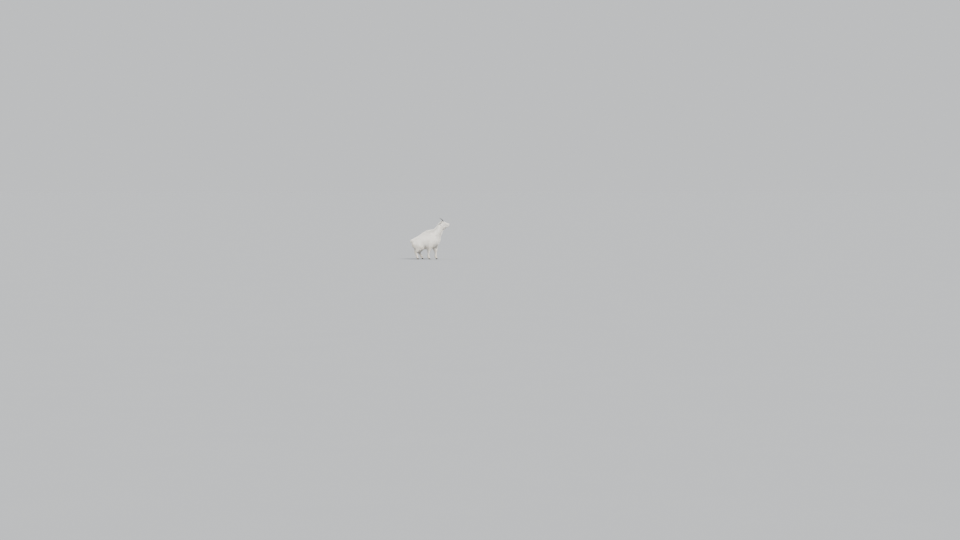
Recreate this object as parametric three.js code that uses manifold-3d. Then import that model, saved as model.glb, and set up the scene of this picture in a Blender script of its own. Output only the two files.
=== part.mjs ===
// A mountain goat (Oreamnos americanus), a still life-size model in an autumn coat, standing with
// its head up and its hindquarters low. Millimetres, +Z up. The goat faces +X and its left side is
// +Y. Heights are above the floor. X is measured from the hump over the shoulders, and at the end
// everything moves so that the origin is under the middle of the whole animal.
import * as THREE from "three";
import { mergeVertices } from "three/addons/utils/BufferGeometryUtils.js";
import Module from "manifold-3d";

const wasm = await Module();
wasm.setup();

// Clearance between neighbouring nodes.
const GAP = 0.3;
// Share of the coat's depth that a node's smooth core takes up. The locks reach the rest.
const CORE = 0.5;
// How deep a lock's root sits in the core.
const SINK = 16;

// Head: its own frame has x from the back of the skull to the nose and z up.
const HEAD = { x: 404, z: 1272, pitch: 8 };
const EYE = { x: 138, y: 46, z: 34, radius: 14.5 };
const HORN = { x: 108, y: 17, z: 66, length: 225, base: 18, lean: 24, bend: 62, spread: 11 };
const EAR = { x: 58, y: 52, z: 44, length: 118 };

// Feet: where each coronet stands, and how the claws are made.
const CORONET_Z = 42;
const CLAW = { length: 68, width: 29, height: 46, splay: 5, apart: 15.5, corners: 8 };

const FRONT_FOOT = { right: 16, left: 268 };
const HIND_FOOT = { right: -388, left: -232 };
const FRONT_TRACK = 104;
const HIND_TRACK = 112;

// Where the nodes part.
const NECK_CUT = { normal: [0.707, 0, 0.707], at: [235, 0, 875] };
const HEAD_CUT = { normal: [0.8, 0, 0.6], at: [455, 0, 1190] };
const LEG_CUT = { front: { upper: 505, lower: 262 }, hind: { upper: 545, lower: 240 } };
const TAIL_CUT = { normal: [1, 0, 0], at: [-604, 0, 0] };

const COLOURS = {
  coat: { color: 0xe9e6dd, roughness: 0.85, metalness: 0 },
  horn: { color: 0x1b1918, roughness: 0.45, metalness: 0 },
  hoof: { color: 0x2a2725, roughness: 0.55, metalness: 0 },
  eye: { color: 0x2b1a0c, roughness: 0.08, metalness: 0 },
};

const sides = { right: -1, left: 1 };
const vec = (x, y, z) => new THREE.Vector3(x, y, z);

// A closed body as a solid to join and cut.
function solid(geometry) {
  geometry.deleteAttribute("normal");
  geometry.deleteAttribute("uv");
  const merged = mergeVertices(geometry, 1e-3);
  return new wasm.Manifold(
    new wasm.Mesh({
      numProp: 3,
      vertProperties: merged.attributes.position.array,
      triVerts: new Uint32Array(merged.index.array),
    }),
  );
}

// The solid's surface as three.js geometry.
function surface(body) {
  const mesh = body.getMesh();
  const places = new Float32Array(mesh.numVert * 3);
  for (let i = 0; i < mesh.numVert; i++) {
    places.set(mesh.vertProperties.subarray(i * mesh.numProp, i * mesh.numProp + 3), i * 3);
  }
  const geometry = new THREE.BufferGeometry();
  geometry.setAttribute("position", new THREE.BufferAttribute(places, 3));
  geometry.setIndex(new THREE.BufferAttribute(new Uint32Array(mesh.triVerts), 1));
  geometry.computeVertexNormals();
  return geometry;
}

const joined = (bodies) => bodies.reduce((a, b) => a.add(b));

// The largest closed surface of a solid, without loose scraps.
function largest(body) {
  return body.decompose().reduce((a, b) => (b.volume() > a.volume() ? b : a));
}

// Keeps the side of a plane that its normal points to, from `off` beyond the plane.
function trimmed(body, plane, sign, off = 0) {
  const normal = vec(...plane.normal).normalize().multiplyScalar(sign);
  const reach = normal.dot(vec(...plane.at)) + off;
  return body.trimByPlane(normal.toArray(), reach);
}

const level = (z) => ({ normal: [0, 0, 1], at: [0, 0, z] });

// One section of a lofted form: its centre, its reach up or forward, down or back, and sideways,
// the coat's depth in those three directions, and how far its upper side narrows to a ridge.
function section(x, y, z, up, down, side, coat = [0, 0, 0], ridge = 0) {
  return { x, y, z, up, down, side, coat, ridge };
}

// A section given by its top and bottom heights instead.
function band(x, top, bottom, side, coat, ridge) {
  const half = (top - bottom) / 2;
  return section(x, 0, (top + bottom) / 2, half, half, side, coat, ridge);
}

// A closed skin over rings of points, with a pole at each end.
function skinned(rings, poles) {
  const around = rings[0].length;
  const at = (i, k) => i * around + (k % around);
  const last = rings.length - 1;
  const triangles = [];
  for (let k = 0; k < around; k++) {
    for (let i = 0; i < last; i++) {
      triangles.push(at(i, k), at(i + 1, k + 1), at(i, k + 1));
      triangles.push(at(i, k), at(i + 1, k), at(i + 1, k + 1));
    }
    triangles.push(rings.length * around, at(0, k), at(0, k + 1));
    triangles.push(rings.length * around + 1, at(last, k + 1), at(last, k));
  }
  const places = [...rings.flat(), ...poles].flatMap((point) => point.toArray());
  const geometry = new THREE.BufferGeometry();
  geometry.setAttribute("position", new THREE.Float32BufferAttribute(places, 3));
  return geometry.setIndex(triangles);
}

// The ways up and across on a section whose line runs along `run`.
function sectionAxes(run) {
  const up = run.clone().cross(vec(0, 1, 0)).normalize();
  return { up, across: up.clone().cross(run).normalize() };
}

// A closed form through the sections, smooth between them, with rounded ends.
function loft(sections, options = {}) {
  const { around = 16, along = 1, square = 2, coat = 0, grow = 0, cap = 0.6, plain = false } = options;
  const centres = new THREE.CatmullRomCurve3(sections.map((s) => vec(s.x, s.y, s.z)));
  const reach = (s, way, name) => s[name] + s.coat[way] * coat + grow;
  const radii = new THREE.CatmullRomCurve3(
    sections.map((s) => vec(reach(s, 0, "up"), reach(s, 1, "down"), reach(s, 2, "side"))),
  );
  const ridges = new THREE.CatmullRomCurve3(sections.map((s) => vec(s.ridge, 0, 0)));
  const count = (sections.length - 1) * along;
  const places = Array.from({ length: count + 1 }, (_, i) => ({
    at: centres.getPoint(i / count),
    run: centres.getTangent(i / count),
    r: radii.getPoint(i / count),
    ridge: ridges.getPoint(i / count).x,
  }));
  const beyond = (place, way, share) =>
    place.at.clone().addScaledVector(place.run, way * cap * share * Math.min(place.r.x, place.r.z));
  const rounded = (place, way) =>
    (plain ? [0.7] : [0.55, 0.87]).map((sine) => ({
      ...place,
      at: beyond(place, way, sine),
      r: place.r.clone().multiplyScalar(Math.sqrt(1 - sine * sine)),
    }));
  const first = places[0];
  const last = places[count];
  const ring = ({ at, run, r, ridge }) => {
    const { up, across } = sectionAxes(run);
    const bent = (value) => Math.sign(value) * Math.abs(value) ** (2 / square);
    return Array.from({ length: around }, (_, k) => {
      const angle = (2 * Math.PI * k) / around;
      const rise = bent(Math.cos(angle));
      const out = bent(Math.sin(angle)) * r.z * (1 - ridge * Math.max(0, rise));
      return at.clone().addScaledVector(up, rise * (rise > 0 ? r.x : r.y)).addScaledVector(across, out);
    });
  };
  const rings = [...rounded(first, -1).reverse(), ...places, ...rounded(last, 1)].map(ring);
  return skinned(rings, [beyond(first, -1, 1), beyond(last, 1, 1)]);
}

// An ellipsoid with given radii, turned and placed by a matrix.
function ellipsoid(rx, ry, rz, matrix, segments = 14) {
  const geometry = new THREE.SphereGeometry(1, segments, Math.round(segments * 0.65));
  return geometry.scale(rx, ry, rz).applyMatrix4(matrix);
}

const moved = (x, y, z) => new THREE.Matrix4().makeTranslation(x, y, z);
const headMatrix = moved(HEAD.x, 0, HEAD.z).multiply(
  new THREE.Matrix4().makeRotationY(THREE.MathUtils.degToRad(HEAD.pitch)),
);
const inHead = (geometry) => solid(geometry.applyMatrix4(headMatrix));

// Trunk, from the rump to the brisket, with the hump's ridge over the shoulders.
const TRUNK = [
  band(-588, 676, 590, 62, [24, 26, 26], 0),
  band(-560, 706, 560, 98, [30, 34, 30], 0),
  band(-505, 728, 532, 126, [34, 56, 36], 0),
  band(-430, 751, 510, 144, [40, 90, 42], 0.05),
  band(-330, 797, 495, 155, [48, 118, 46], 0.12),
  band(-205, 862, 484, 163, [58, 132, 46], 0.22),
  band(-85, 922, 478, 160, [74, 130, 46], 0.34),
  band(20, 963, 474, 152, [86, 118, 46], 0.42),
  band(115, 958, 472, 143, [92, 104, 48], 0.42),
  band(205, 908, 478, 130, [88, 98, 50], 0.3),
  band(280, 838, 502, 106, [76, 92, 52], 0.15),
  band(328, 762, 548, 74, [62, 84, 48], 0),
];

// Neck, from deep in the shoulders to the back of the skull.
const NECK = [
  section(120, 0, 800, 150, 150, 120, [74, 70, 40]),
  section(225, 0, 888, 120, 130, 104, [72, 84, 42]),
  section(303, 0, 982, 98, 110, 84, [56, 82, 40]),
  section(358, 0, 1076, 84, 96, 72, [46, 66, 36]),
  section(402, 0, 1166, 74, 84, 64, [38, 48, 30]),
  section(436, 0, 1240, 62, 66, 54, [32, 26, 20]),
];

// Skull and upper jaw, in the head's frame.
const FACE_COAT = [7, 6, 7];
const SKULL = [
  band(-4, 32, -56, 40, [16, 18, 14]),
  band(22, 52, -76, 53, [15, 18, 14]),
  band(60, 67, -88, 60, [13, 16, 12]),
  band(100, 74, -88, 61, [10, 8, 9]),
  band(136, 70, -84, 56, FACE_COAT),
  band(175, 60, -76, 48, FACE_COAT),
  band(215, 50, -61, 43, FACE_COAT),
  band(255, 43, -48, 41, [5, 4, 5]),
  band(290, 37, -44, 41, [3, 2, 3]),
  band(318, 27, -39, 35, [2, 1, 2]),
];

// Lower jaw, from its angle below the ear to the chin.
const JAW = [
  band(52, -28, -88, 42, [10, 26, 14]),
  band(92, -30, -101, 45, [8, 24, 12]),
  band(140, -26, -98, 42, [6, 18, 9]),
  band(190, -22, -90, 38, [5, 14, 7]),
  band(240, -22, -82, 35, [4, 11, 5]),
  band(284, -24, -76, 32, [3, 8, 4]),
  band(308, -28, -69, 27, [2, 5, 3]),
];

// The front leg's sections from the shoulder to the coronet. `foot` is its coronet's X, and the
// joints above it swing with it.
function frontLeg(side) {
  const foot = FRONT_FOOT[side];
  const y = sides[side] * FRONT_TRACK;
  const knee = foot - 8 + (foot > 100 ? -22 : 2);
  const elbow = 112 + 0.62 * (foot - 112);
  return [
    section(172, y * 0.66, 720, 76, 80, 52, [24, 24, 34]),
    section(0.7 * 150 + 0.3 * elbow, y * 0.92, 610, 84, 84, 60, [36, 40, 38]),
    section(elbow, y * 1.04, 500, 64, 68, 50, [46, 52, 40]),
    section((elbow + knee) / 2, y * 1.03, 405, 46, 48, 38, [42, 50, 36]),
    section(knee, y, 312, 34, 32, 31, [24, 32, 20]),
    section(knee - 2, y, 278, 30, 28, 28, [12, 20, 12]),
    section(foot - 20, y, 208, 22, 24, 20, [8, 11, 8]),
    section(foot - 25, y, 142, 23, 26, 21, [8, 11, 8]),
    section(foot - 26, y, 106, 28, 30, 26, [8, 12, 8]),
    section(foot - 12, y, 70, 25, 26, 26, [7, 10, 7]),
    section(foot, y, CORONET_Z, 31, 31, 30, [5, 6, 5]),
  ];
}

// The hind leg's forms: thigh, ham, shank, hock and the leg below it. `foot` is its coronet's X.
function hindLeg(side) {
  const foot = HIND_FOOT[side];
  const y = sides[side] * HIND_TRACK;
  const reach = foot - HIND_FOOT.right;
  const stifle = [-270 + 0.3 * reach, y * 1.12, 434 + 0.1 * reach];
  const hock = [-470 + 0.72 * reach, y, 264 - 0.06 * reach];
  const middle = stifle.map((value, i) => (value + hock[i]) / 2);
  const upper = [46, 60, 44];
  return {
    thigh: [
      section(-430, y * 0.6, 670, 70, 80, 56, [20, 30, 30]),
      section((-440 + stifle[0]) / 2, y * 1.04, 550, 100, 96, 62, [44, 60, 42]),
      section(...stifle, 62, 70, 48, upper),
    ],
    ham: [
      section(-500, y * 0.5, 640, 60, 60, 44, [20, 30, 30]),
      section(-505 + 0.15 * reach, y * 0.9, 540, 70, 58, 56, [40, 50, 42]),
      section(middle[0] - 14, y * 1.04, middle[2] + 46, 52, 46, 42, upper),
    ],
    shank: [
      section(...stifle, 58, 62, 46, upper),
      section(middle[0], middle[1], middle[2], 44, 48, 37, [38, 50, 36]),
      section(hock[0] + 6, hock[1], hock[2] + 6, 28, 30, 26, [20, 30, 20]),
    ],
    foot: [
      section(hock[0] - 10, y, hock[2] + 26, 26, 22, 22, [14, 22, 14]),
      section(hock[0], y, hock[2] - 4, 33, 30, 27, [12, 20, 14]),
      section(hock[0] + 0.24 * (foot - hock[0]), y, 208, 24, 25, 22, [9, 14, 9]),
      section(hock[0] + 0.6 * (foot - hock[0]), y, 142, 24, 26, 22, [8, 11, 8]),
      section(foot - 27, y, 106, 29, 31, 27, [8, 12, 8]),
      section(foot - 12, y, 70, 26, 27, 27, [7, 10, 7]),
      section(foot, y, CORONET_Z, 31, 31, 30, [5, 6, 5]),
    ],
  };
}

const TAIL = [
  section(-570, 0, 690, 22, 22, 24, [10, 10, 12]),
  section(-606, 0, 672, 18, 18, 20, [18, 14, 18]),
  section(-624, 0, 636, 13, 13, 15, [16, 14, 18]),
  section(-629, 0, 594, 8, 8, 10, [14, 12, 14]),
];

const trunkForm = (coat, grow = 0) => solid(loft(TRUNK, { around: 20, coat, grow }));
const neckForm = (coat, grow = 0) => solid(loft(NECK, { around: 16, coat, grow }));

function legForm(pair, side, coat, grow = 0) {
  const make = (rows, around) => solid(loft(rows, { around, coat, grow }));
  if (pair === "front") return make(frontLeg(side), 10);
  const { thigh, ham, shank, foot } = hindLeg(side);
  return joined([make(thigh, 10), make(ham, 8), make(shank, 8), make(foot, 10)]);
}

// One claw of a cloven hoof: a flat sole, a sloping wall and a pointed toe.
function clawGeometry() {
  const levels = [
    { z: 0, scale: 0.96, back: 0 },
    { z: 6, scale: 1, back: 1 },
    { z: 30, scale: 0.9, back: 7 },
    { z: CLAW.height, scale: 0.8, back: 11 },
  ];
  const rings = levels.map(({ z, scale, back }) =>
    Array.from({ length: CLAW.corners }, (_, k) => {
      const angle = (-2 * Math.PI * k) / CLAW.corners;
      const toe = Math.cos(angle);
      const taper = toe > 0 ? 1 - 0.45 * toe ** 2 : 1 - 0.12 * toe ** 2;
      const wide = Math.sin(angle) * CLAW.width * scale * taper;
      return vec((toe * CLAW.length * scale) / 2 - back, wide / 2, z);
    }),
  );
  return skinned(rings, [vec(0, 0, 0), vec(-11, 0, CLAW.height)]);
}

function claw(pair, side, place) {
  const foot = pair === "front" ? FRONT_FOOT[side] : HIND_FOOT[side];
  const y = sides[side] * (pair === "front" ? FRONT_TRACK : HIND_TRACK);
  const away = place === "outer" ? sides[side] : -sides[side];
  const turn = new THREE.Matrix4().makeRotationZ(THREE.MathUtils.degToRad(away * CLAW.splay));
  const matrix = moved(foot + 13, y + away * CLAW.apart, 0).multiply(turn);
  return solid(clawGeometry().applyMatrix4(matrix));
}

// A dewclaw: a blunt horny cone behind the fetlock.
function dewclaw(pair, side, place, grow = 0) {
  const foot = pair === "front" ? FRONT_FOOT[side] : HIND_FOOT[side];
  const y = sides[side] * (pair === "front" ? FRONT_TRACK : HIND_TRACK);
  const away = place === "outer" ? sides[side] : -sides[side];
  const rows = [
    section(foot - 46, y + away * 13, 98, 9, 8, 8),
    section(foot - 56, y + away * 14, 86, 8.5, 8, 8),
    section(foot - 62, y + away * 14, 74, 5, 5, 5),
  ];
  return solid(loft(rows, { around: 5, grow, plain: true }));
}

// A horn: black, round, ringed near its base, curving back and a little outwards.
function horn(side, grow = 0) {
  const out = sides[side];
  const start = vec(HORN.x, out * HORN.y, HORN.z);
  const steps = 14;
  const rows = [];
  let at = start.clone().add(vec(6, 0, -16));
  for (let i = 0; i <= steps; i++) {
    const t = i / steps;
    const angle = THREE.MathUtils.degToRad(HORN.lean + HORN.bend * t);
    const lean = THREE.MathUtils.degToRad(HORN.spread) * (1 - 0.3 * t);
    const step = vec(-Math.sin(angle), out * Math.sin(lean), Math.cos(angle));
    const taper = (1 - t) ** 0.75;
    const ringed = t > 0.1 && t < 0.55 && i % 2 === 0 ? 1.2 : 0;
    const radius = 1.6 + (HORN.base - 1.6) * taper + ringed;
    rows.push(section(at.x, at.y, at.z, radius, radius * 1.08, radius * 0.84));
    at = at.clone().addScaledVector(step.normalize(), (HORN.length + 16) / steps);
  }
  return inHead(loft(rows, { around: 8, grow, cap: 0.9, plain: true }));
}

// An ear: a pointed leaf hollowed to a cup that opens forwards.
function ear(side, grow = 0) {
  const out = sides[side];
  const axis = vec(-0.46, out * 0.85, 0.26).normalize();
  const open = vec(0.86, out * 0.5, -0.1);
  open.addScaledVector(axis, -open.dot(axis)).normalize();
  const broad = axis.clone().cross(open);
  const matrix = new THREE.Matrix4().makeBasis(open, broad, axis);
  matrix.setPosition(EAR.x, out * EAR.y, EAR.z);
  const length = EAR.length;
  const leaf = (thin, wide, shift) => [
    section(shift, 0, -6, 12 - thin, 12 - thin, 14 - wide),
    section(shift, 0, length * 0.2, 12 - thin, 11 - thin, 21 - wide),
    section(shift - 1, 0, length * 0.45, 9 - thin * 0.7, 9 - thin * 0.7, 25 - wide),
    section(shift - 3, 0, length * 0.72, 6 - thin * 0.5, 6 - thin * 0.5, 19 - wide),
    section(shift - 7, 0, length * 0.93, 3.2 - thin * 0.2, 3.2 - thin * 0.2, 8 - wide * 0.6),
  ];
  const shape = (rows, options) => inHead(loft(rows, options).applyMatrix4(matrix));
  const outer = shape(leaf(0, 0, 0), { around: 8, grow, plain: true });
  if (grow > 0) return outer;
  const cup = shape(leaf(0.5, 4, 4.5).slice(1), { around: 8, plain: true });
  return largest(outer.subtract(cup));
}

// Draws from 0 to 1 that come out the same each time.
function draws(seed) {
  let state = seed;
  return () => {
    state = (state * 1664525 + 1013904223) % 4294967296;
    return state / 4294967296;
  };
}

// A flat, tapered lock of hair, bent from its root to its tip, with its ridge facing `out`. When it
// grows, its sharp edges and tip move out by more than its faces do.
function lock({ root, bend, tip, out, width, thick }, grow = 0) {
  const path = new THREE.QuadraticBezierCurve3(root, bend, tip);
  const rings = [
    { t: 0, broad: 0.7, deep: 1 },
    { t: 0.38, broad: 1, deep: 1 },
    { t: 0.66, broad: 0.62, deep: 0.6 },
  ].map(({ t, broad, deep }) => {
    const run = path.getTangent(t);
    const across = run.clone().cross(out).normalize();
    const ridge = across.clone().cross(run);
    const high = thick * deep;
    const wide = (width * broad) / 2;
    const slope = Math.hypot(wide, high);
    const half = wide + (1.3 * grow * (wide + slope)) / high;
    const back = t === 0 ? 2 * grow : 0;
    const at = path.getPoint(t).addScaledVector(ridge, -grow).addScaledVector(run, -back);
    const top = at.clone().addScaledVector(ridge, high + grow + (1.2 * grow * slope) / wide);
    return [at.clone().addScaledVector(across, half), top, at.clone().addScaledVector(across, -half)];
  });
  const beyond = tip.clone().addScaledVector(path.getTangent(1), 14 * grow);
  return solid(skinned(rings, [rings[0][1].clone().lerp(root, 0.5), beyond]));
}

const caster = new THREE.Raycaster();

// Where a ray meets a form, and which way the form faces there.
function met(form, from, way) {
  caster.set(from, way.clone().normalize());
  const hit = caster.intersectObject(form)[0];
  return hit ? { at: hit.point, out: hit.face.normal.clone() } : undefined;
}

// Where a lock from `at` ends. Hair of the kind "flat" follows the form and ends on the coat's outline,
// a shorter lock where a long one would stand off it, "hanging" hair falls until it leaves the outline,
// and "free" hair has its own length.
function tipOf(kind, at, out, along, length) {
  const reach = at.clone().addScaledVector(along, length);
  if (kind === "free") return reach;
  const past = kind === "hanging" ? along : out;
  const edge = met(outline, reach.clone().addScaledVector(past, 200), past.clone().negate());
  if (kind === "hanging") return edge && edge.at.distanceTo(at) < 0.8 * length ? edge.at : reach;
  if (edge && edge.at.distanceTo(reach) < 0.5 * length) return edge.at;
  return length > 60 ? tipOf(kind, at, out, along, 0.6 * length) : undefined;
}

// Rows of locks set on a form. Each row runs along the line of `sections`, from one share of its
// length to another, at an angle around it from its upper side. `lie` is the way the hair points and
// `length` how far it reaches. A row with `edge` stands with its edge up, as hair on a crest does.
function rowsOfLocks(body, sections, rows, seed) {
  const form = new THREE.Mesh(surface(body), new THREE.MeshBasicMaterial());
  const line = new THREE.CatmullRomCurve3(sections.map((s) => vec(s.x, s.y, s.z)));
  const draw = draws(seed);
  const vary = (share) => 1 + share * (2 * draw() - 1);
  const locks = [];
  for (const row of rows) {
    for (let i = 0; i < row.count; i++) {
      const share = (i + 0.5 * vary(0.4)) / row.count;
      const u = row.from + (row.to - row.from) * share;
      const centre = line.getPointAt(u);
      const { up, across } = sectionAxes(line.getTangentAt(u));
      const angle = THREE.MathUtils.degToRad(row.angle + 4 * (2 * draw() - 1));
      const away = up.multiplyScalar(Math.cos(angle)).addScaledVector(across, Math.sin(angle));
      const found = met(form, centre.clone().addScaledVector(away, 700), away.clone().negate());
      const along = vec(row.lie[0] * vary(0.15), row.lie[1], row.lie[2] * vary(0.15)).normalize();
      const length = row.length * vary(0.12);
      const width = row.width * vary(0.1);
      if (!found || found.out.dot(away) < 0.4) continue;
      const out = found.out.lerp(away, 0.5).normalize();
      if (row.kind === "flat") along.addScaledVector(out, -along.dot(out)).normalize();
      const tip = tipOf(row.kind, found.at, out, along, length);
      if (!tip) continue;
      const lift = 0.16 * length * (1 - Math.max(0, along.dot(out)));
      locks.push({
        root: found.at.clone().addScaledVector(out, -SINK),
        bend: found.at.clone().lerp(tip, 0.4).addScaledVector(out, lift),
        tip,
        out: row.edge ? vec(0, i % 2 ? 1 : -1, 0) : out,
        width,
        thick: row.edge ? 20 : 0.17 * width,
      });
    }
  }
  return locks;
}

// The same row on both sides of the body.
const bothSides = (rows) =>
  rows.flatMap((row) =>
    [1, -1].map((way) => ({
      ...row,
      angle: way * row.angle,
      lie: [row.lie[0], way * row.lie[1], row.lie[2]],
    })),
  );

// Frame with its z axis looking out of the eye.
function eyeMatrix(side) {
  const out = sides[side];
  const look = vec(0.3, out * 0.95, 0.08).normalize();
  const ahead = vec(1, 0, -0.1).addScaledVector(look, -look.x).normalize();
  ahead.addScaledVector(look, -ahead.dot(look)).normalize();
  const matrix = new THREE.Matrix4().makeBasis(ahead, look.clone().cross(ahead), look);
  return matrix.setPosition(EYE.x, out * EYE.y, EYE.z);
}

const eye = (side, grow = 0) =>
  inHead(ellipsoid(...Array(3).fill(EYE.radius + grow), eyeMatrix(side), 12));

// The gap between the lids: an almond looking out of the eye.
function lidOpening(side) {
  const half = 13.5;
  const shape = new THREE.Shape();
  shape.moveTo(-half, 0);
  shape.quadraticCurveTo(0, 13, half, -1);
  shape.quadraticCurveTo(0, -11, -half, 0);
  const depth = 30;
  const geometry = new THREE.ExtrudeGeometry(shape, { depth, bevelEnabled: false, curveSegments: 4 });
  return inHead(geometry.translate(0, 0, 6).applyMatrix4(eyeMatrix(side)));
}

// The line of the mouth: a slot as deep as `depth` around the front of the muzzle.
function mouthLine() {
  const shape = new THREE.Shape();
  shape.moveTo(222, -29);
  shape.quadraticCurveTo(270, -40, 360, -39);
  shape.lineTo(360, -36.2);
  shape.quadraticCurveTo(270, -36.8, 222, -29);
  const slot = new THREE.ExtrudeGeometry(shape, { depth: 120, bevelEnabled: false, curveSegments: 3 });
  slot.translate(0, 0, -60).rotateX(Math.PI / 2);
  const inside = loft(
    SKULL.slice(5).map((s) => ({ ...s, side: s.side - 6, x: s.x - 6 })),
    { around: 12, square: 2.4 },
  );
  return inHead(slot).subtract(inHead(inside));
}

// The head's outer form, without its openings.
function headForm(coat, grow = 0) {
  const forms = [
    inHead(loft(SKULL, { around: 18, square: 2.3, coat, grow, cap: 0.42 })),
    inHead(loft(JAW, { around: 12, square: 2.3, coat, grow, cap: 0.42 })),
  ];
  for (const side of Object.keys(sides)) {
    const out = sides[side];
    const brow = moved(EYE.x - 5, out * (EYE.y + 1), EYE.z + 15).multiply(
      new THREE.Matrix4().makeRotationY(0.25),
    );
    forms.push(inHead(ellipsoid(24 + grow, 15 + grow, 9 + grow, brow, 8)));
    forms.push(inHead(ellipsoid(...Array(3).fill(EYE.radius + 3.4 + grow), eyeMatrix(side), 10)));
    forms.push(inHead(ellipsoid(13 + grow, 15 + grow, 13 + grow, moved(313, out * 20, 6), 8)));
  }
  return joined(forms);
}

function nostril(side) {
  const out = sides[side];
  const matrix = moved(325, out * 25, 9).multiply(
    new THREE.Matrix4().makeRotationFromEuler(new THREE.Euler(out * 0.5, 0.75, out * 0.35)),
  );
  return inHead(ellipsoid(13, 8, 4.6, matrix, 8));
}

// How far beyond a parting plane a node's face stands, also for the grown copy that cuts its
// neighbour's locks.
const face = (grow) => GAP / 2 - 0.8 * grow;

// The smooth cores of the nodes that carry locks.
const cores = {
  head: (grow = 0) => trimmed(headForm(0.9, grow).add(neckForm(CORE, grow)), HEAD_CUT, 1, face(grow)),
  neck(grow = 0) {
    const form = joined([neckForm(CORE, grow), trunkForm(CORE, grow), headForm(0.9, grow)]);
    return trimmed(trimmed(form, HEAD_CUT, -1, face(grow)), NECK_CUT, 1, face(grow));
  },
  torso(grow = 0) {
    const forms = [trunkForm(CORE, grow), neckForm(CORE, grow)];
    for (const side of Object.keys(sides)) {
      for (const pair of Object.keys(LEG_CUT)) {
        const form = legForm(pair, side, CORE, grow);
        forms.push(trimmed(form, level(LEG_CUT[pair].upper), 1, face(grow)));
      }
    }
    const body = trimmed(joined(forms), NECK_CUT, -1, face(grow));
    return trimmed(body, TAIL_CUT, 1, face(grow));
  },
  leg(pair, side, grow = 0) {
    const form = trimmed(legForm(pair, side, CORE, grow), level(LEG_CUT[pair].upper), -1, face(grow));
    return trimmed(form, level(LEG_CUT[pair].lower), 1, face(grow));
  },
  tail: (grow = 0) => trimmed(solid(loft(TAIL, { around: 8, coat: CORE, grow })), TAIL_CUT, -1, face(grow)),
};

// The coat's outline out to the tips of its locks, which each lock ends on.
const outline = new THREE.Mesh(
  surface(
    joined([
      trunkForm(1),
      neckForm(1),
      headForm(1),
      solid(loft(TAIL, { around: 10, coat: 1 })),
      ...Object.keys(sides).flatMap((side) => [legForm("front", side, 1), legForm("hind", side, 1)]),
    ]),
  ),
  new THREE.MeshBasicMaterial(),
);

const inWorld = (sections) => sections.map((s) => vec(s.x, s.y, s.z).applyMatrix4(headMatrix));

const FLAT = { kind: "flat", edge: false };
const HANGING = { kind: "hanging", edge: false };
const FREE = { kind: "free", edge: false };
const CREST = { kind: "flat", edge: true };
const BEARD = { kind: "free", edge: true };

const headLocks = [
  ...rowsOfLocks(
    cores.head(),
    inWorld(JAW),
    [
      { ...BEARD, angle: 180, from: 0.02, to: 0.8, count: 5, length: 86, width: 64, lie: [-0.3, 0, -1] },
      ...bothSides([
        { ...FREE, angle: 152, from: 0.04, to: 0.62, count: 3, length: 70, width: 58, lie: [-0.4, 0, -1] },
      ]),
    ],
    11,
  ),
  ...rowsOfLocks(
    cores.head(),
    inWorld(SKULL),
    [
      { ...FREE, angle: 0, from: 0.02, to: 0.16, count: 2, length: 50, width: 44, lie: [-1, 0, 0] },
      ...bothSides([
        { ...FLAT, angle: 112, from: 0.04, to: 0.3, count: 2, length: 66, width: 54, lie: [-0.6, 0, -0.9] },
      ]),
    ],
    14,
  ),
];

const neckLocks = rowsOfLocks(
  cores.neck(),
  NECK,
  [
    { ...CREST, angle: 0, from: 0.3, to: 0.99, count: 5, length: 115, width: 66, lie: [-0.75, 0, -0.6] },
    { ...HANGING, angle: 180, from: 0.28, to: 0.9, count: 3, length: 150, width: 96, lie: [0.2, 0, -1] },
    ...bothSides([
      { ...FLAT, angle: 34, from: 0.3, to: 0.96, count: 3, length: 150, width: 92, lie: [-0.75, 0.1, -0.7] },
      { ...FLAT, angle: 72, from: 0.3, to: 0.94, count: 3, length: 155, width: 92, lie: [-0.5, 0.1, -0.8] },
      { ...FLAT, angle: 110, from: 0.3, to: 0.92, count: 3, length: 160, width: 92, lie: [-0.25, 0, -0.9] },
      { ...FLAT, angle: 146, from: 0.26, to: 0.88, count: 3, length: 160, width: 88, lie: [0, 0, -1] },
    ]),
  ],
  21,
);

// A line down the middle of the chest, around which its locks stand.
const CHEST_LINE = [vec(190, 0, 790), vec(195, 0, 680), vec(190, 0, 560)];

const torsoLocks = [
  ...rowsOfLocks(
    cores.torso(),
    TRUNK,
    [
      { ...CREST, angle: 0, from: 0.12, to: 0.8, count: 7, length: 150, width: 74, lie: [-0.9, 0, 0] },
      { ...HANGING, angle: 180, from: 0.42, to: 0.98, count: 4, length: 130, width: 110, lie: [-0.3, 0, -1] },
      ...bothSides([
        { ...FLAT, angle: 24, from: 0.08, to: 0.8, count: 5, length: 175, width: 124, lie: [-0.9, 0.4, -0.1] },
        { ...FLAT, angle: 50, from: 0.03, to: 0.84, count: 5, length: 190, width: 142, lie: [-0.65, 0.2, -0.6] },
        { ...FLAT, angle: 76, from: 0.04, to: 0.9, count: 5, length: 195, width: 144, lie: [-0.45, 0.1, -0.9] },
        { ...FLAT, angle: 104, from: 0.05, to: 0.97, count: 5, length: 190, width: 142, lie: [-0.3, 0, -1] },
        { ...HANGING, angle: 138, from: 0.3, to: 0.96, count: 5, length: 155, width: 110, lie: [-0.3, 0, -1] },
      ]),
    ],
    31,
  ),
  ...rowsOfLocks(
    cores.torso(),
    CHEST_LINE,
    [
      { ...HANGING, angle: 0, from: 0.1, to: 1, count: 2, length: 150, width: 98, lie: [0.05, 0, -1] },
      ...bothSides([
        { ...HANGING, angle: 40, from: 0, to: 0.95, count: 3, length: 150, width: 94, lie: [0, 0, -1] },
      ]),
    ],
    32,
  ),
];

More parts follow.
